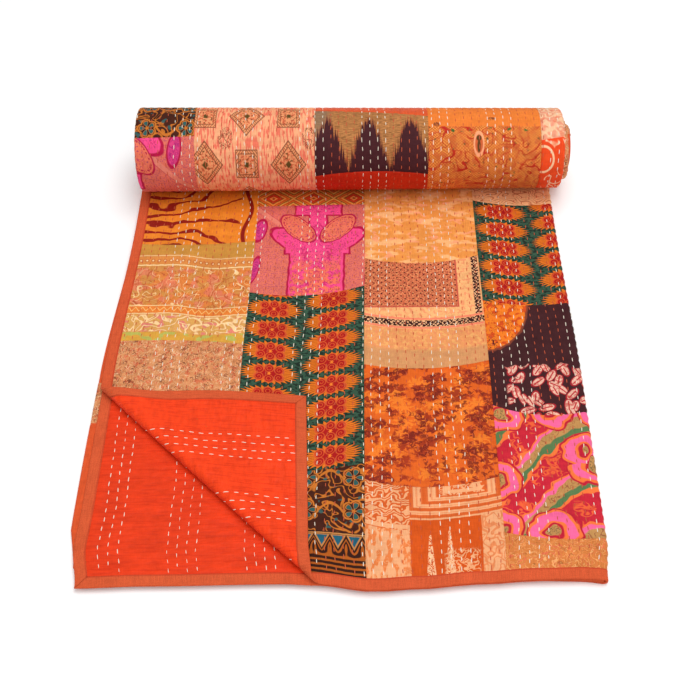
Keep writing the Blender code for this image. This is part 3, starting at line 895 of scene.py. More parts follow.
def hanging_border(colour, u, up, tan):
    """The cloth's end: a rule, the triangles that hang from it, and the striped hills."""
    side = abs(repeated(u - 4.0, 17.5))
    colour = painted(colour, dye(54, 26, 20), inside(up, 63.5, 0.4))
    colour = painted(colour, tan, between(up, 60.6, 62.2, 0.3))
    low = inside(up, 60.0, 0.4)
    colour = painted(colour, tan, inside(side - (up - 43.0) * 0.50, 0.0, 0.5) * low)
    triangle = inside(side - (up - 46.5) * 0.50, 0.0, 0.5) * inside(up, 59.0, 0.4)
    colour = painted(colour, dye(34, 90, 110), triangle)
    hills = up - side * 1.8 * inside(-up, -41.0, 9.0) + (u / 21.0).math("SINE") * 1.8
    stripe = inside(abs(repeated(hills, 5.8)), 1.25, 0.4)
    return painted(colour, dye(174, 88, 28), stripe * inside(-side + (up - 40.0) * 0.50, 0.0, 0.5) * low)


def brown_vines(u, v):
    up = v - inside(-v, -400.0, 0.1) * 683.0
    colour = painted(dye(80, 38, 24), dye(56, 24, 18), cloud(u, v, 8.0, 2.0))
    orange, teal, tan = dye(200, 114, 42), dye(50, 92, 90), dye(192, 128, 70)
    row = repeated(up - 132.0, 42.0)
    flower_x = repeated(u - 301.0, 52.0)
    wave = row + (flower_x * (math.pi / 26.0)).math("COSINE") * 9.0
    vine = inside(abs(wave) + cloud(u, up, 9.0) * 1.4, 2.5, 0.5)
    twigs = curls(u, up, 15.0, 0.052)
    colour = painted(colour, orange, vine.math("MAXIMUM", twigs) * 0.95)
    colour = painted(colour, teal, inside(cloud(u + 11.0, up, 9.0), 0.30, 0.03) * 0.9)
    flower = reach(flower_x, row * 0.95)
    bearing = worked(u.tree, "ARCTAN2", row, flower_x)
    lobes = abs((bearing * 2.5).math("COSINE"))
    petals = flower - lobes * 3.2
    colour = painted(colour, orange, inside(petals, 10.4, 0.5))
    colour = painted(colour, dye(54, 28, 22), inside(petals, 8.4, 0.5))
    oval = reach((flower - 6.2) / 3.7, (lobes - 1.0) * 2.4)
    colour = painted(colour, orange, inside(oval, 1.22, 0.10))
    colour = painted(colour, teal, inside(oval, 0.92, 0.10))
    colour = painted(colour, orange, inside(flower, 1.9, 0.4))
    return hanging_border(colour, u, up, tan)


lay_patches("cloth_vines", cloth_material("vine_print", brown_vines), (1, 0), (7, 4), (9, 4), (12, 1))


# Brushed cloth: orange tan silk, dyed by hand with soft peach brush marks that run along the weft.
# The two dyes have run into each other at their edges.

def brush_marks(u, v):
    ground = painted(dye(234, 152, 76), dye(226, 138, 62), cloud(u, v / 3.0, 5.0, 2.0))
    marks = inside(cloud(u / 2.0 + 13.0, v, 13.0, 3.0), 0.43, 0.07)
    ground = painted(ground, dye(246, 182, 122), marks * 0.9)
    return painted(ground, dye(248, 158, 116), inside(cloud(u / 2.0 - 40.0, v, 8.0, 2.0), 0.36, 0.05) * 0.8)


BRUSHED_PLACES = (2, 3), (8, 2), (11, 5), (14, 0)
lay_patches("cloth_brushed", cloth_material("brushed_print", brush_marks, 0.5), *BRUSHED_PLACES)


# Dotted cloth: printed cotton with a salmon field of fine dots and a peach border. A line of black marks
# on cream turns the border's corner, and a pale band lies outside it.

def dotted_field(u, v):
    sag = ((u - 388.0) / 75.0) * ((u - 388.0) / 75.0) * 9.0
    up = v - sag
    peach = painted(dye(236, 164, 104), dye(240, 184, 124), cloud(u, v, 7.0, 2.0))
    peach = painted(peach, dye(232, 132, 94), inside(cloud(u, v, 5.0, 1.0), 0.42, 0.06) * 0.65)
    salmon = painted(dye(204, 106, 70), dye(224, 140, 92), inside(cloud(u, v, 2.2, 0.0), 0.43, 0.05))
    salmon = painted(salmon, dye(160, 68, 52), inside(cloud(u + 50.0, v, 2.0, 0.0), 0.37, 0.05))
    dot = reach(repeated(u, 10.0), repeated(v, 9.0))
    dot = dot.math("MINIMUM", reach(repeated(u + 5.0, 10.0), repeated(v + 4.5, 9.0)))
    salmon = painted(salmon, dye(50, 24, 24), inside(dot, 1.05, 0.35))
    field = inside(-v, -388.0, 0.6) * inside(u, 431.0, 0.6)
    colour = painted(peach, dye(196, 84, 66), inside(-v, -386.0, 0.4) * inside(u, 433.0, 0.4))
    colour = painted(colour, salmon, field)
    side_row = between(u, 452.5, 461.0, 0.5) * inside(-up, -356.0, 0.5)
    rows = between(up, 354.0, 364.0, 0.5).math("MAXIMUM", side_row)
    drift_x, drift_y = cloud(u, v, 5.0) * 6.0, cloud(u + 23.0, v, 5.0) * 6.0
    checks = ((u + drift_x) * (math.pi / 2.9)).math("SINE") * ((up + drift_y) * (math.pi / 2.9)).math("SINE")
    line = painted(dye(236, 176, 130), dye(58, 26, 24), inside(checks, 0.24, 0.12))
    colour = painted(colour, line, rows)
    edges = between(up, 350.5, 353.5, 0.4).math("MAXIMUM", between(up, 365.0, 368.0, 0.4))
    colour = painted(colour, dye(240, 130, 98), edges * inside(u, 462.0, 0.5))
    pale = inside(up, 349.5, 0.8)
    colour = painted(colour, dye(226, 148, 90), pale)
    colour = painted(colour, dye(236, 176, 104), inside(cloud(u, v, 6.0, 1.0), 0.42, 0.06) * pale * 0.6)
    colour = painted(colour, dye(224, 128, 92), inside(cloud(u + 30.0, v, 4.0, 1.0), 0.40, 0.05) * pale * 0.5)
    return painted(colour, dye(200, 142, 94), inside(up, 316.0, 4.0) * 0.75)


lay_patches("cloth_dotted", cloth_material("dotted_print", dotted_field), (2, 2), (9, 1), (12, 3), (14, 5))


# Batik cloth: silk in bright orange with clusters of leaves in rust and maroon. The leaves were kept in wax
# between the dyes, which leaves their edges ragged.

def scattered(x, y, size):
    """Places round randomly scattered points about this far apart: across, up, and the point's own number."""
    node = x.tree.nodes.new("ShaderNodeTexVoronoi")
    node.voronoi_dimensions = "2D"
    x.tree.links.new(point(x, y), node.inputs["Vector"])
    node.inputs["Scale"].default_value = 1.0 / size
    split = x.tree.nodes.new("ShaderNodeSeparateXYZ")
    x.tree.links.new(node.outputs["Position"], split.inputs[0])
    own = x.tree.nodes.new("ShaderNodeSeparateColor")
    x.tree.links.new(node.outputs["Color"], own.inputs[0])
    across, up = x - Field(x.tree, split.outputs["X"]), y - Field(x.tree, split.outputs["Y"])
    return across, up, Field(x.tree, own.outputs[0])


def burst(x, y, size, points):
    """Spiky leaves round scattered points: the share of each leaf's reach, and the point's own number."""
    near_x, near_y, own = scattered(x, y, size)
    bearing = worked(x.tree, "ARCTAN2", near_y, near_x) + own * 6.0
    spikes = abs((bearing * (points / 2)).math("COSINE"))
    return reach(near_x, near_y) / (spikes.math("POWER", 1.4) * 0.75 + 0.30) / size, own


def leaf_clusters(u, v):
    x, y = u + cloud(u, v, 6.0, 2.0) * 9.0, v + cloud(u + 61.0, v, 6.0, 2.0) * 9.0
    colour = painted(dye(228, 106, 32), dye(210, 84, 28), cloud(u, v, 18.0, 3.0))
    thick = cloud(u / 1.3, v, 30.0, 2.0)
    glow, glow_own = burst(x / 1.4 + 5.0, y, 17.0, 9.0)
    colour = painted(colour, dye(234, 122, 40), inside(glow, 0.55, 0.10) * inside(glow_own, 0.6, 0.05))
    big, big_own = burst(x / 1.5, y, 10.0, 5.0)
    dense = inside(thick + big_own * 0.42, 0.70, 0.03)
    colour = painted(colour, dye(188, 76, 28), inside(big, 0.86, 0.10) * dense * 0.8)
    colour = painted(colour, dye(152, 46, 24), inside(big, 0.60, 0.10) * dense * 0.85)
    small, small_own = burst(x / 1.3 - 31.0, y + 17.0, 5.5, 4.0)
    specks = inside(thick + small_own * 0.35, 0.62, 0.03)
    return painted(colour, dye(110, 30, 24), inside(small, 0.68, 0.12) * specks * 0.8)


BATIK_PLACES = (2, 1), (5, 1), (10, 0), (13, 5)
lay_patches("cloth_batik", cloth_material("batik_print", leaf_clusters, 0.55), *BATIK_PLACES)


# Block-printed cloth: peach cotton printed in orange from carved blocks. A meander, nested frames, a bare
# block with two thin plants, and scrolled leaves lie side by side.

def block_print(u, v):
    peach, orange = dye(234, 166, 118), dye(210, 92, 38)
    sag = ((u - 389.0) / 75.0) * ((u - 389.0) / 75.0) * 10.0
    up = v - sag
    maze = repeated(v + cloud(u, v, 10.0, 0.0) * 15.0 + cloud(u + 40.0, v, 5.0, 0.0) * 5.0, 5.4)
    meander = painted(peach, orange, inside(abs(maze), 1.35, 0.35))
    right = inside(-u, -361.5, 0.4)
    box = abs(420.0 - u) * 0.52
    ring = box.math("MAXIMUM", 121.0 - up)
    frames = painted(orange, peach, inside(abs(repeated(ring, 8.6)), 2.3, 0.4))
    fine = inside(abs(repeated(ring, 2.9)), 0.5, 0.3)
    frames = painted(frames, dye(216, 106, 52), fine * inside(-ring, -14.0, 0.5) * 0.5)
    heart = curls(u, v, 7.0, 0.10) * inside(ring, 13.0, 0.5)
    frames = painted(frames, peach, heart)
    colour = painted(meander, frames, right)
    colour = painted(colour, peach, between(up, 66.0, 71.0, 0.4) * inside(u, 361.0, 0.4))
    low_left = inside(up, 65.0, 0.4) * inside(u, 361.0, 0.4)
    leaves = painted(peach, dye(226, 124, 66), inside(cloud(u / 0.8, v / 1.9, 7.0, 1.0), 0.48, 0.05))
    leaves = painted(leaves, peach, curls(u, v, 7.0, 0.03))
    colour = painted(colour, leaves, low_left)
    low_right = inside(up, 78.0, 0.4) * right
    plain = painted(dye(212, 86, 26), dye(200, 76, 22), cloud(u, v, 9.0, 2.0))
    colour = painted(colour, plain, low_right)
    for stem, top in ((383.0, 60.0), (404.0, 64.0)):
        width = (top - v) * 0.085
        plant = inside(abs(u - stem) - width, 1.0, 0.4) * inside(v, top, 0.5)
        colour = painted(colour, dye(246, 192, 148), plant * curls(u, v, 3.6, 0.14) * low_right)
    spray = inside(v, 40.0, 3.0) * between(u, 398.0, 436.0, 2.0) * curls(u, v, 7.0, 0.08)
    colour = painted(colour, peach, spray)
    scroll_column = inside(-u, -439.0, 0.4) * inside(up, 78.0, 0.4)
    scrolls = painted(peach, dye(222, 130, 80), curls(u, v, 11.0, 0.085))
    return painted(colour, scrolls, scroll_column)


lay_patches("cloth_block", cloth_material("block_print", block_print), (2, 0), (5, 3), (9, 5), (13, 2))


# Marbled cloth: peach silk with thin brown lines. They swirl like ink that was combed on water before the
# cloth was laid on it.

def marbled(u, v):
    ground = painted(dye(236, 162, 106), dye(246, 190, 140), cloud(u, v, 14.0, 2.0))
    drift = cloud(u / 1.6, v, 24.0, 1.0) * 90.0
    lines = abs(repeated(v + drift, 7.5))
    return painted(ground, dye(178, 88, 52), inside(lines + cloud(u, v, 9.0) * 1.5, 1.6, 0.5) * 0.85)


lay_patches("cloth_marbled", cloth_material("marbled_print", marbled), (3, 4), (8, 5), (11, 1), (14, 4))


# Maroon cloth: dark maroon silk with an orange batik quarter round in one corner. The foliage low on its
# right is a generic one, in pale pink and red.

def maroon_foliage(u, v):
    colour = painted(dye(72, 36, 38), dye(58, 27, 30), cloud(u, v, 18.0, 2.0))
    round_edge = reach(u - 462.0, (v - 400.0) * 0.66) + cloud(u, v, 9.0, 1.0) * 3.0
    batik = painted(dye(236, 122, 36), dye(206, 76, 28), inside(cloud(u, v, 8.0, 3.0), 0.45, 0.05))
    batik = painted(batik, dye(96, 30, 28), curls(u, v, 8.0, 0.030) * inside(cloud(u, v, 20.0), 0.5, 0.06))
    colour = painted(colour, dye(128, 62, 44), inside(round_edge, 59.0, 0.8))
    colour = painted(colour, batik, inside(round_edge, 56.5, 0.8))
    low = inside(v + cloud(u, v, 16.0, 1.0) * 34.0, 309.0, 1.5) * inside(-u, -482.0, 2.0)
    near_x, near_y, own = scattered(u, v, 15.0)
    swing = own * 6.28
    along = near_x * swing.math("COSINE") + near_y * swing.math("SINE")
    over = near_y * swing.math("COSINE") - near_x * swing.math("SINE")
    leaf = reach(along / 9.0, over / 4.6)
    colour = painted(colour, dye(168, 34, 44), inside(leaf, 1.22, 0.06) * low)
    petal = painted(dye(232, 180, 158), dye(206, 116, 104), inside(cloud(u, v, 5.0, 2.0), 0.44, 0.05))
    colour = painted(colour, petal, inside(leaf, 0.95, 0.06) * low)
    rib = inside(abs(over), 0.8, 0.3) * inside(leaf, 0.8, 0.06)
    colour = painted(colour, dye(188, 44, 52), rib * low)
    return painted(colour, dye(64, 30, 34), curls(u, v, 6.0, 0.016) * low * 0.9)


lay_patches("cloth_maroon", cloth_material("maroon_print", maroon_foliage), (3, 2), (8, 0), (12, 0))


# Bloom cloth: printed silk with a generic design, round flowers in rings of pink, orange and tan. They lie
# over broad wandering bands on crimson.

def banded_blooms(u, v):
    x, y = u + cloud(u, v, 22.0, 1.0) * 16.0, v + cloud(u + 47.0, v, 22.0, 1.0) * 16.0
    crimson, orange, tan, pink = dye(186, 30, 52), dye(240, 116, 58), dye(186, 136, 80), dye(240, 100, 150)
    green = dye(88, 118, 74)
    colour = painted(crimson, dye(204, 44, 56), cloud(u, v, 12.0, 2.0))
    squiggle = curls(u, v * 1.4, 12.0, 0.085) * inside(cloud(u, v, 32.0), 0.50, 0.03)
    colour = painted(colour, dye(232, 96, 54), squiggle)
    band = repeated(y * 0.8 - x * 0.62 + (x / 23.0).math("SINE") * 9.0, 62.0)
    bands = ((-15.0, 15.0, orange), (-11.0, 11.0, tan), (-11.0, -4.0, green), (7.0, 12.0, pink))
    for low, high, ink in bands:
        colour = painted(colour, ink, between(band, low, high, 0.6))
    colour = painted(colour, dye(150, 92, 58), curls(u, v, 9.0, 0.026) * between(band, -3.0, 6.0, 0.6))
    near_x, near_y, own = scattered(x, y, 64.0)
    bloom = reach(near_x, near_y) + own * 6.0
    rings = (31.0, crimson), (28.5, orange), (25.0, pink), (15.5, orange), (12.5, crimson), (9.5, tan)
    for radius, ink in rings:
        colour = painted(colour, ink, inside(bloom, radius, 0.6))
    return painted(colour, dye(120, 96, 60), inside(bloom, 8.6, 0.5) * curls(u, v, 5.0, 0.08))


BLOOM_PLACES = (3, 1), (6, 1), (10, 2), (14, 6)
lay_patches("cloth_blooms", cloth_material("bloom_print", banded_blooms), *BLOOM_PLACES)


# Scrolled cloth: tan orange cotton with small pale scrolls. A second, rose printing lies over the first and
# does not quite meet it.

def small_scrolls(u, v):
    ground = painted(dye(218, 130, 70), dye(200, 114, 54), cloud(u, v, 12.0, 3.0))
    ground = painted(ground, dye(240, 172, 110), curls(u, v, 7.0, 0.030) * 0.85)
    ground = painted(ground, dye(222, 100, 76), curls(u - 33.0, v, 13.0, 0.022) * 0.7)
    return painted(ground, dye(158, 92, 44), curls(u + 70.0, v, 9.0, 0.016) * 0.7)


SCROLL_PLACES = (3, 0), (6, 2), (9, 0), (11, 2), (13, 6)
lay_patches("cloth_scrolls", cloth_material("scroll_print", small_scrolls), *SCROLL_PLACES)


# Kilim cloth: peach cotton brushed with short salmon streaks. Squares and diamonds stand on it in turn, drawn
# with thin hatched borders.

def squares_and_diamonds(u, v):
    ground = painted(dye(242, 176, 130), dye(236, 156, 114), cloud(u, v, 10.0, 2.0))
    streaks = inside(cloud(u, v / 6.0, 2.6, 1.0), 0.46, 0.03)
    ground = painted(ground, dye(230, 92, 76), streaks * 0.75)
    cell = ((u - 1000.0) / 56.0 + 0.5).math("FLOOR") + ((v - 861.0) / 65.0 + 0.5).math("FLOOR")
    odd = (cell * 0.5).math("FRACT") * 2.0
    x, y = abs(repeated(u - 1000.0, 56.0)), abs(repeated(v - 861.0, 65.0)) * 0.8
    square, diamond = x.math("MAXIMUM", y), (x + y) * 0.62
    shape = diamond * odd + square * (1.0 - odd)
    ground = painted(ground, dye(224, 142, 90), inside(shape, 14.5, 0.4) * 0.65)
    in_shape = inside(shape, 10.5, 0.4)
    ground = painted(ground, dye(196, 84, 54), inside(cloud(u, v, 3.4, 1.0), 0.42, 0.05) * in_shape * 0.85)
    specks = inside(cloud(u + 19.0, v, 3.0, 0.0), 0.30, 0.05)
    ground = painted(ground, dye(110, 72, 38), specks * in_shape * 0.9)
    across_rule = x + y - y * odd * 2.0
    hatch = inside(abs(repeated(across_rule, 3.6)), 0.5, 0.25) * between(shape, 11.0, 14.5, 0.3)
    rules = between(shape, 14.0, 15.0, 0.25).math("MAXIMUM", between(shape, 10.4, 11.3, 0.25))
    ground = painted(ground, dye(104, 54, 34), rules.math("MAXIMUM", hatch) * 0.85)
    ground = painted(ground, dye(92, 70, 32), inside(shape, 2.6, 0.8))
    sprig = reach(repeated(u - 1028.0, 112.0), repeated(v - 828.0, 130.0) * 0.7)
    return painted(ground, dye(120, 66, 40), inside(sprig, 10.0, 1.0) * curls(u, v, 4.2, 0.07))


lay_patches("cloth_kilim", cloth_material("kilim_print", squares_and_diamonds), (6, 4), (8, 3), (13, 4))


# Ikat cloth: tan silk with fine weft lines and tall dark maroon spikes. The warp was tied and dyed before it
# was woven, which feathers the edges of the spikes.

def feathered_spikes(u, v):
    ground = painted(dye(194, 130, 76), dye(172, 112, 64), cloud(u, v, 16.0, 2.0))
    ground = painted(ground, dye(112, 76, 40), inside(cloud(u / 9.0, v, 0.9, 1.0), 0.44, 0.06) * 0.7)
    ground = painted(ground, dye(128, 108, 88), inside(-u, -890.0, 8.0) * 0.7)
    feather = cloud(u, v / 60.0, 1.1, 0.0) * 46.0 - 23.0
    x = abs(repeated(u - 836.0, 56.0)) / 25.0
    edge = v - 801.0 - x.math("POWER", 1.2) * 56.0 + feather * (x * 0.5 + 0.5)
    ground = painted(ground, dye(150, 60, 34), inside(-edge, 5.0, 3.0) * 0.5)
    return painted(ground, dye(70, 32, 36), inside(-edge, 0.0, 0.8))


lay_patches("cloth_ikat", cloth_material("ikat_weave", feathered_spikes, 0.7), (5, 5), (9, 3), (14, 1))


# Red cloth: plain unprinted silk in red orange, which fills the low end of the ikat's column and other
# places.

def plain_red(u, v):
    return painted(dye(198, 46, 22), dye(178, 37, 18), cloud(u, v / 8.0, 3.0, 2.0))


RED_PLACES = (4, 0), (5, 6), (6, 6), (8, 6), (12, 5)
lay_patches("cloth_red", cloth_material("red_silk", plain_red, 0.45), *RED_PLACES)


# Lattice cloth: orange cotton printed with a fine zigzag lattice and red sprays over it. Its border is plain
# but for a few sprigs, with small green leaves where the lattice begins.

def zigzag_lattice(u, v):
    colour = painted(dye(234, 130, 54), dye(226, 116, 46), cloud(u, v, 16.0, 2.0))
    lattice = inside(-v + cloud(u, v, 12.0) * 4.0, -811.0, 1.0)
    zigzag = v + abs(repeated(u, 4.4)) * 1.6 + cloud(u, v, 14.0) * 4.0
    zigzags = inside(abs(repeated(zigzag, 3.6)), 0.75, 0.3)
    fine = painted(dye(196, 78, 34), dye(240, 166, 78), zigzags)
    fine = painted(fine, dye(196, 76, 44), inside(cloud(u, v, 9.0, 2.0), 0.45, 0.05) * 0.5)
    colour = painted(colour, fine, lattice)
    colour = painted(colour, dye(176, 60, 34), inside(v, 768.0, 24.0) * 0.35)
    colour = painted(colour, dye(186, 36, 30), curls(u / 1.5, v, 15.0, 0.030) * lattice * 0.95)
    colour = painted(colour, dye(70, 74, 44), inside(cloud(u + 9.0, v, 6.0), 0.25, 0.03) * lattice * 0.8)
    leaf_u = repeated(u - 680.0 + cloud(u, v, 20.0) * 9.0, 25.0)
    leaf = reach(leaf_u / 2.8, (v - 815.0 - cloud(u, v, 9.0) * 6.0) / 2.0)
    colour = painted(colour, dye(70, 100, 46), inside(leaf, 1.0, 0.2) * inside(cloud(u, v, 19.0), 0.53, 0.02))
    sprig = reach((u - 672.0) / 5.5, (v - 800.0) / 2.4)
    sprig = sprig.math("MINIMUM", reach((u - 746.0) / 4.0, (v - 810.0) / 3.6))
    colour = painted(colour, dye(112, 56, 40), inside(sprig, 1.0, 0.15) * curls(u, v, 4.0, 0.2) * 0.85)
    drop = reach((u - 690.0) / 7.0, (v - 836.0) / 16.0)
    colour = painted(colour, dye(240, 160, 116), between(drop, 0.72, 1.04, 0.06))
    colour = painted(colour, dye(206, 96, 52), inside(drop, 0.72, 0.06))
    stem = reach((u - 690.0) / 2.2, (v - 839.0) / 8.0)
    stem = stem.math("MINIMUM", reach((u - 690.0) / 3.4, (v - 829.0) / 3.6))
    return painted(colour, dye(92, 62, 32), inside(stem, 1.0, 0.15))


lay_patches("cloth_lattice", cloth_material("lattice_print", zigzag_lattice), (4, 4), (10, 1), (12, 2))


# Blossom cloth: thin cotton in cream and pale pink, dyed in soft rings, with a few spots where the coral of
# the next cloth has run into it.

def pale_blossom(u, v):
    rings = (cloud(u, v, 15.0, 1.0) * 26.0).math("SINE")
    ground = painted(dye(238, 190, 150), dye(230, 150, 120), inside(rings, 0.0, 0.8))
    return painted(ground, dye(226, 116, 84), inside(cloud(u + 12.0, v, 9.0, 2.0), 0.36, 0.05) * 0.7)


lay_patches("cloth_blossom", cloth_material("blossom_print", pale_blossom), (3, 5), (4, 2), (11, 4), (6, 0))


# Curve cloth: bright red orange silk, printed in cream with rings and with broad strokes that curl between
# them.

def cream_curves(u, v):
    ground = painted(dye(240, 84, 36), dye(226, 66, 30), cloud(u, v, 18.0, 2.0))
    ring = reach(repeated(u - 604.0, 96.0), repeated(v - 857.0, 110.0) * 0.8)
    where = inside(-ring, -19.0, 1.0) * inside(cloud(u, v, 24.0), 0.52, 0.04)
    strokes = curls(u + 15.0, v, 20.0, 0.040) * where
    curve = between(ring, 12.5, 15.0, 0.5).math("MAXIMUM", strokes)
    return painted(ground, dye(250, 200, 156), curve)


lay_patches("cloth_curves", cloth_material("curve_print", cream_curves), (3, 6), (6, 5), (10, 5), (13, 0))


# Plain orange cloth: unprinted silk with slubs in its weft. It fills the places of the patchwork that no
# cloth above has taken, all of them inside the folds and the roll or behind it.

def plain_orange(u, v):
    return painted(dye(222, 92, 46), dye(206, 76, 38), cloud(u, v / 6.0, 4.0, 2.0))


lay_patches("cloth_plain", cloth_material("plain_silk", plain_orange, 0.5), *sorted(places_left))


# The quilting stitches: running stitches of thick cotton thread through all three cloths, in rows a finger's
# width apart that run from the near end to the far end, four rows in white and then four in coral.

STITCH_LENGTH, STITCH_WIDTH, STITCH_HEIGHT = 0.0060, 0.00108, 0.00050
STITCH_SINK = 0.0005
ROWS_OF_A_COLOUR = 4


def one_stitch():
    """A half-round thread along the second axis whose ends go down into the cloth."""
    bm = bmesh.new()
    bmesh.ops.create_circle(bm, segments=5, radius=0.5)
    ring = bm.verts[:]
    bmesh.ops.transform(bm, matrix=Matrix.Rotation(math.pi / 2, 3, "X"), verts=ring)
    bmesh.ops.scale(bm, vec=(STITCH_WIDTH, 1, 2 * STITCH_HEIGHT), verts=ring)
    loop = bm.edges[:]
    for step in (0.14, 0.24, 0.24, 0.24, 0.14):
        pulled = bmesh.ops.extrude_edge_only(bm, edges=loop)["geom"]
        new = [part for part in pulled if isinstance(part, bmesh.types.BMVert)]
        loop = [part for part in pulled if isinstance(part, bmesh.types.BMEdge)]
        bmesh.ops.translate(bm, vec=(0, step * STITCH_LENGTH, 0), verts=new)
    bmesh.ops.recalc_face_normals(bm, faces=bm.faces[:])
    bmesh.ops.translate(bm, vec=(0, -STITCH_LENGTH / 2, 0), verts=bm.verts[:])
    for vert in bm.verts:
        share = abs(vert.co.y) / (STITCH_LENGTH / 2)
        vert.co.x *= 1 - 0.55 * share**4
        vert.co.z -= STITCH_SINK * share**4
    return bm


def many(bm, count):
    """Copies what the mesh holds until there are count of it, and gives the points of each as one array."""
    size = len(bm.verts)
    while len(bm.verts) < size * count:
        bmesh.ops.duplicate(bm, geom=bm.verts[:] + bm.edges[:] + bm.faces[:])
    bm.verts.ensure_lookup_table()
    bmesh.ops.delete(bm, geom=bm.verts[size * count:], context="VERTS")
    return flat_points(bm).reshape(count, size, 3)


def whole_steps(low, high, step):
    """The numbers of the steps that lie between low and high."""
    return range(math.ceil(low / step), math.floor(high / step) + 1)


def stitch_places(areas, white, half_step):
    """Flat places of the stitches of one colour in these areas (from u, to u, from v, to v)."""
    places = []
    for from_u, to_u, from_v, to_v in areas:
        for row in whole_steps(from_u - FIRST_ROW, to_u - FIRST_ROW, ROW_SPACING):
            if (row // ROWS_OF_A_COLOUR % 2 == 0) != white:
                continue
            u = FIRST_ROW + row * ROW_SPACING
            start = (half_step - row_phase(row)) * STITCH_PITCH
            steps = whole_steps(from_v - start, to_v - start, STITCH_PITCH)
            places += [(u, start + k * STITCH_PITCH) for k in steps]
    return np.array([place for place in places if clear_of_binding(*place)])


def clear_of_binding(u, v):
    """Whether a stitch lies in from the binding on every bound side."""
    clear = BINDING_WIDTH + 0.003
    return clear < u < QUILT_WIDTH - clear and v > clear


def stitches(name, material, areas, white, face):
    """All stitches of one colour on one face of the quilt: 1 is the patchwork's, -1 the backing's."""
    places = stitch_places(areas, white, 0.5 if face > 0 else 0.0)
    bm = one_stitch()
    points = many(bm, len(places))
    number = np.arange(len(places))
    lean = 0.05 * np.sin(number * 12.9898) + 0.04 * np.sin(number * 4.1)
    length = 1 + 0.13 * np.sin(number * 7.77)
    aside = 0.00035 * np.sin(number * 3.71)
    u = places[:, :1] + points[:, :, 0] + lean[:, None] * points[:, :, 1] + aside[:, None]
    v = places[:, 1:] + points[:, :, 1] * length[:, None]
    u = u + row_stray(places[:, :1], v)
    cloth = CLOTH_HALF + quilting(u, v)
    h = face * (cloth + points[:, :, 2])
    flat = np.stack((u, v, h), axis=2).reshape(-1, 3)
    for vert, place in zip(bm.verts, flat):
        vert.co = place
    if face < 0:
        bmesh.ops.reverse_faces(bm, faces=bm.faces[:])
    return finish_cloth(bm, name, material)


def thread(name, light, dark):
    """Soft cotton thread, plied, so that its strands run slantwise along each stitch."""
    material, shader, tree = new_material(name, 0.85)
    u, v = flat_place(tree)
    strands = ((u * 1.3 + v * 0.9) * (2 * math.pi)).math("SINE") * 0.35 + 0.35
    feed(tree, shader.inputs["Base Color"], painted(light, dark, strands + cloud(u, v, 9.0) * 0.3))
    return material


def all_stitches():
    white = thread("white_thread", dye(250, 242, 226), dye(222, 206, 182))
    coral = thread("coral_thread", dye(216, 106, 72), dye(178, 76, 52))
    lay, roll_outside = (0.0, 0.581, 0.0, ROLL_Y), (0.566, 1.153, ROLL_Y, 1.010)
    corners = ((0.0, CREASE_LEG, 0.0, CREASE_LEG), (UNDER_CORNER_U, QUILT_WIDTH, 0.0, CREASE_LEG + 0.02))
    return [
        stitches("stitches_white", white, (lay, roll_outside), True, 1),
        stitches("stitches_coral", coral, (lay, roll_outside), False, 1),
        stitches("stitches_back_white", white, corners, True, -1),
    ]


on_the_quilt += all_stitches()


# The binding: a strip of coral orange cotton folded over the quilt's raw edges and sewn through. It is cut at
# the corners, where the strips meet in a mitre.

BINDING_OUTER, BINDING_INNER = 0.00135, 0.00088
BINDING_PAST_EDGE = 0.0010
MITRE_GAP = 0.0002


def binding_profile():
    """(distance in from the edge, height) round the folded strip, outside first."""
    past, outer, inner = BINDING_PAST_EDGE, BINDING_OUTER, BINDING_INNER
    outside = [(BINDING_WIDTH, inner + 0.00008), (0.0121, outer), (0.0090, outer), (0.0050, outer)]
    outside += [(0.0015, outer), (0.0002, 0.93 * outer), (-0.7 * past, 0.55 * outer), (-past, 0.0)]
    inside = [(BINDING_WIDTH, inner), (0.0060, inner), (0.0002, inner), (-0.0003, 0.5 * inner)]
    outside += [(inward, -height) for inward, height in reversed(outside[:-1])]
    inside += [(inward, -height) for inward, height in reversed(inside)]
    return outside + inside[::-1]


def binding(name, node, material, place, start, end, mitres):
    """One strip of binding. place turns (distance in, distance along) into (u, v)."""
    bm = bmesh.new()
    ring = [bm.verts.new((*place(inward, start), height)) for inward, height in binding_profile()]
    pulled = bmesh.ops.extrude_face_region(bm, geom=[bm.faces.new(ring)])
    tip = [part for part in pulled["geom"] if isinstance(part, bmesh.types.BMVert)]
    along = Vector((*place(0, end), 0)) - Vector((*place(0, start), 0))
    bmesh.ops.translate(bm, vec=along, verts=tip)
    for point, normal in mitres:
        whole = bm.verts[:] + bm.edges[:] + bm.faces[:]
        bmesh.ops.bisect_plane(bm, geom=whole, dist=1e-7, plane_co=point, plane_no=normal, clear_outer=True)
        bmesh.ops.holes_fill(bm, edges=[edge for edge in bm.edges if edge.is_boundary], sides=0)
    fine_end = CORNER_END_V + 0.01
    v_lines = fine_lines(0.0, fine_end, 2 * FINE_V, 0.0) + [v for v in PLAIN_V if v > fine_end]
    u_lines = [u for u in PLAIN_U if fine_end < u < UNDER_CORNER_U]
    u_lines += fine_lines(0.0, 0.60, 2 * FINE_U, 0.0)
    u_lines += fine_lines(UNDER_CORNER_U, QUILT_WIDTH, 2 * FINE_U, 0.0)
    cut_along(bm, sorted(u_lines) if place(0, 1)[0] > 0.5 else [], v_lines)
    bmesh.ops.recalc_face_normals(bm, faces=bm.faces[:])
    if bm.calc_volume(signed=True) < 0:
        bmesh.ops.reverse_faces(bm, faces=bm.faces[:])
    piece = finish_cloth(bm, name, material)
    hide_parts(node)
    length = abs(end - start)
    return piece


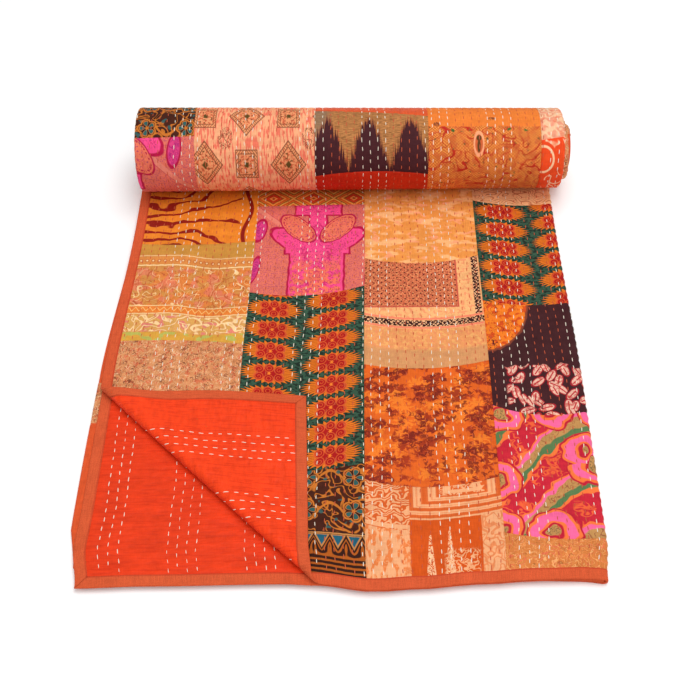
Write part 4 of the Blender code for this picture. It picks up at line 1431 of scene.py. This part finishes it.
def coral_cotton(u, v):
    """Slubby coral orange, with a darker line where the strip is sewn down."""
    flecks = inside(cloud(u, v, 1.1, 1.0), 0.40, 0.06)
    colour = painted(dye(208, 88, 50), dye(186, 70, 42), flecks * 0.6)
    from_edge = u.math("MINIMUM", v).math("MINIMUM", QUILT_WIDTH * 1000.0 - u)
    return painted(colour, dye(186, 60, 36), between(from_edge, 11.0, 12.4, 0.4) * 0.7)


def bindings():
    """The near end's strip and the strips of the two open side edges."""
    material = cloth_material("coral_cotton", coral_cotton, 0.75, 1.0, 0.5)
    far, gap = QUILT_WIDTH, MITRE_GAP
    end_cuts = (((gap, 0, 0), (-1, 1, 0)), ((far - gap, 0, 0), (1, 1, 0)))
    binding("binding_near_end", "binding_end", material, lambda i, a: (a, i), -0.002, far + 0.002, end_cuts)
    top_cut = (((-gap, 0, 0), (1, -1, 0)),)
    edge = ("binding_top_edge", "binding_top_side", material)
    binding(*edge, lambda i, a: (i, a), -0.002, QUILT_LENGTH, top_cut)
    under_cut = (((far + gap, 0, 0), (-1, -1, 0)),)
    edge = ("binding_under_edge", "binding_under_side", material)
    binding(*edge, lambda i, a: (far - i, a), -0.002, QUILT_LENGTH, under_cut)


bindings()


# The studio: a pale floor, soft light from above and in front, and the camera at the photograph's place.

CAMERA_AT = (0.0284, -0.5493, 1.1213)
CAMERA_PITCH, CAMERA_YAW, CAMERA_ROLL = math.radians(51.5), math.radians(-2.03), math.radians(-1.91)
FOCAL_PIXELS, IMAGE_PIXELS = 1128.9, 680


def studio():
    floor_mesh = bpy.data.meshes.new("floor")
    bm = bmesh.new()
    bmesh.ops.create_grid(bm, x_segments=1, y_segments=1, size=4.0)
    bmesh.ops.translate(bm, vec=(0, 0, -0.0002), verts=bm.verts[:])
    bm.to_mesh(floor_mesh)
    bm.free()
    floor = bpy.data.objects.new("floor", floor_mesh)
    bpy.context.scene.collection.objects.link(floor)
    material, shader, _ = new_material("floor", 0.9)
    shader.inputs["Base Color"].default_value = (0.98, 0.98, 0.98, 1)
    floor_mesh.materials.append(material)
    world = bpy.data.worlds.new("studio")
    bpy.context.scene.world = world
    world.use_nodes = True
    world.node_tree.nodes["Background"].inputs["Color"].default_value = (1, 1, 1, 1)
    world.node_tree.nodes["Background"].inputs["Strength"].default_value = 0.5
    for name, place, size, power in (
        ("light_above", (0.5, 0.35, 3.4), 2.2, 58),
        ("light_front", (0.45, -1.6, 3.0), 2.2, 36),
    ):
        lamp = bpy.data.lights.new(name, "AREA")
        lamp.size, lamp.energy = size, power
        light = bpy.data.objects.new(name, lamp)
        light.location = place
        light.rotation_euler = (-Vector(place)).to_track_quat("-Z", "Y").to_euler()
        bpy.context.scene.collection.objects.link(light)


def camera():
    lens = bpy.data.cameras.new("camera")
    lens.sensor_width = 36.0
    lens.lens = FOCAL_PIXELS * lens.sensor_width / IMAGE_PIXELS
    eye = bpy.data.objects.new("camera", lens)
    forward = Vector((
        math.sin(CAMERA_YAW) * math.cos(CAMERA_PITCH),
        math.cos(CAMERA_YAW) * math.cos(CAMERA_PITCH),
        -math.sin(CAMERA_PITCH),
    ))
    level = Vector((math.cos(CAMERA_YAW), -math.sin(CAMERA_YAW), 0))
    right = level * math.cos(CAMERA_ROLL) + level.cross(forward) * math.sin(CAMERA_ROLL)
    up = right.cross(forward)
    turn = Matrix((right, up, -forward)).transposed()
    eye.matrix_world = Matrix.Translation(Vector(CAMERA_AT) - Vector(ORIGIN)) @ turn.to_4x4()
    bpy.context.scene.collection.objects.link(eye)
    bpy.context.scene.camera = eye
    bpy.context.scene.view_settings.view_transform = "Standard"


studio()
camera()
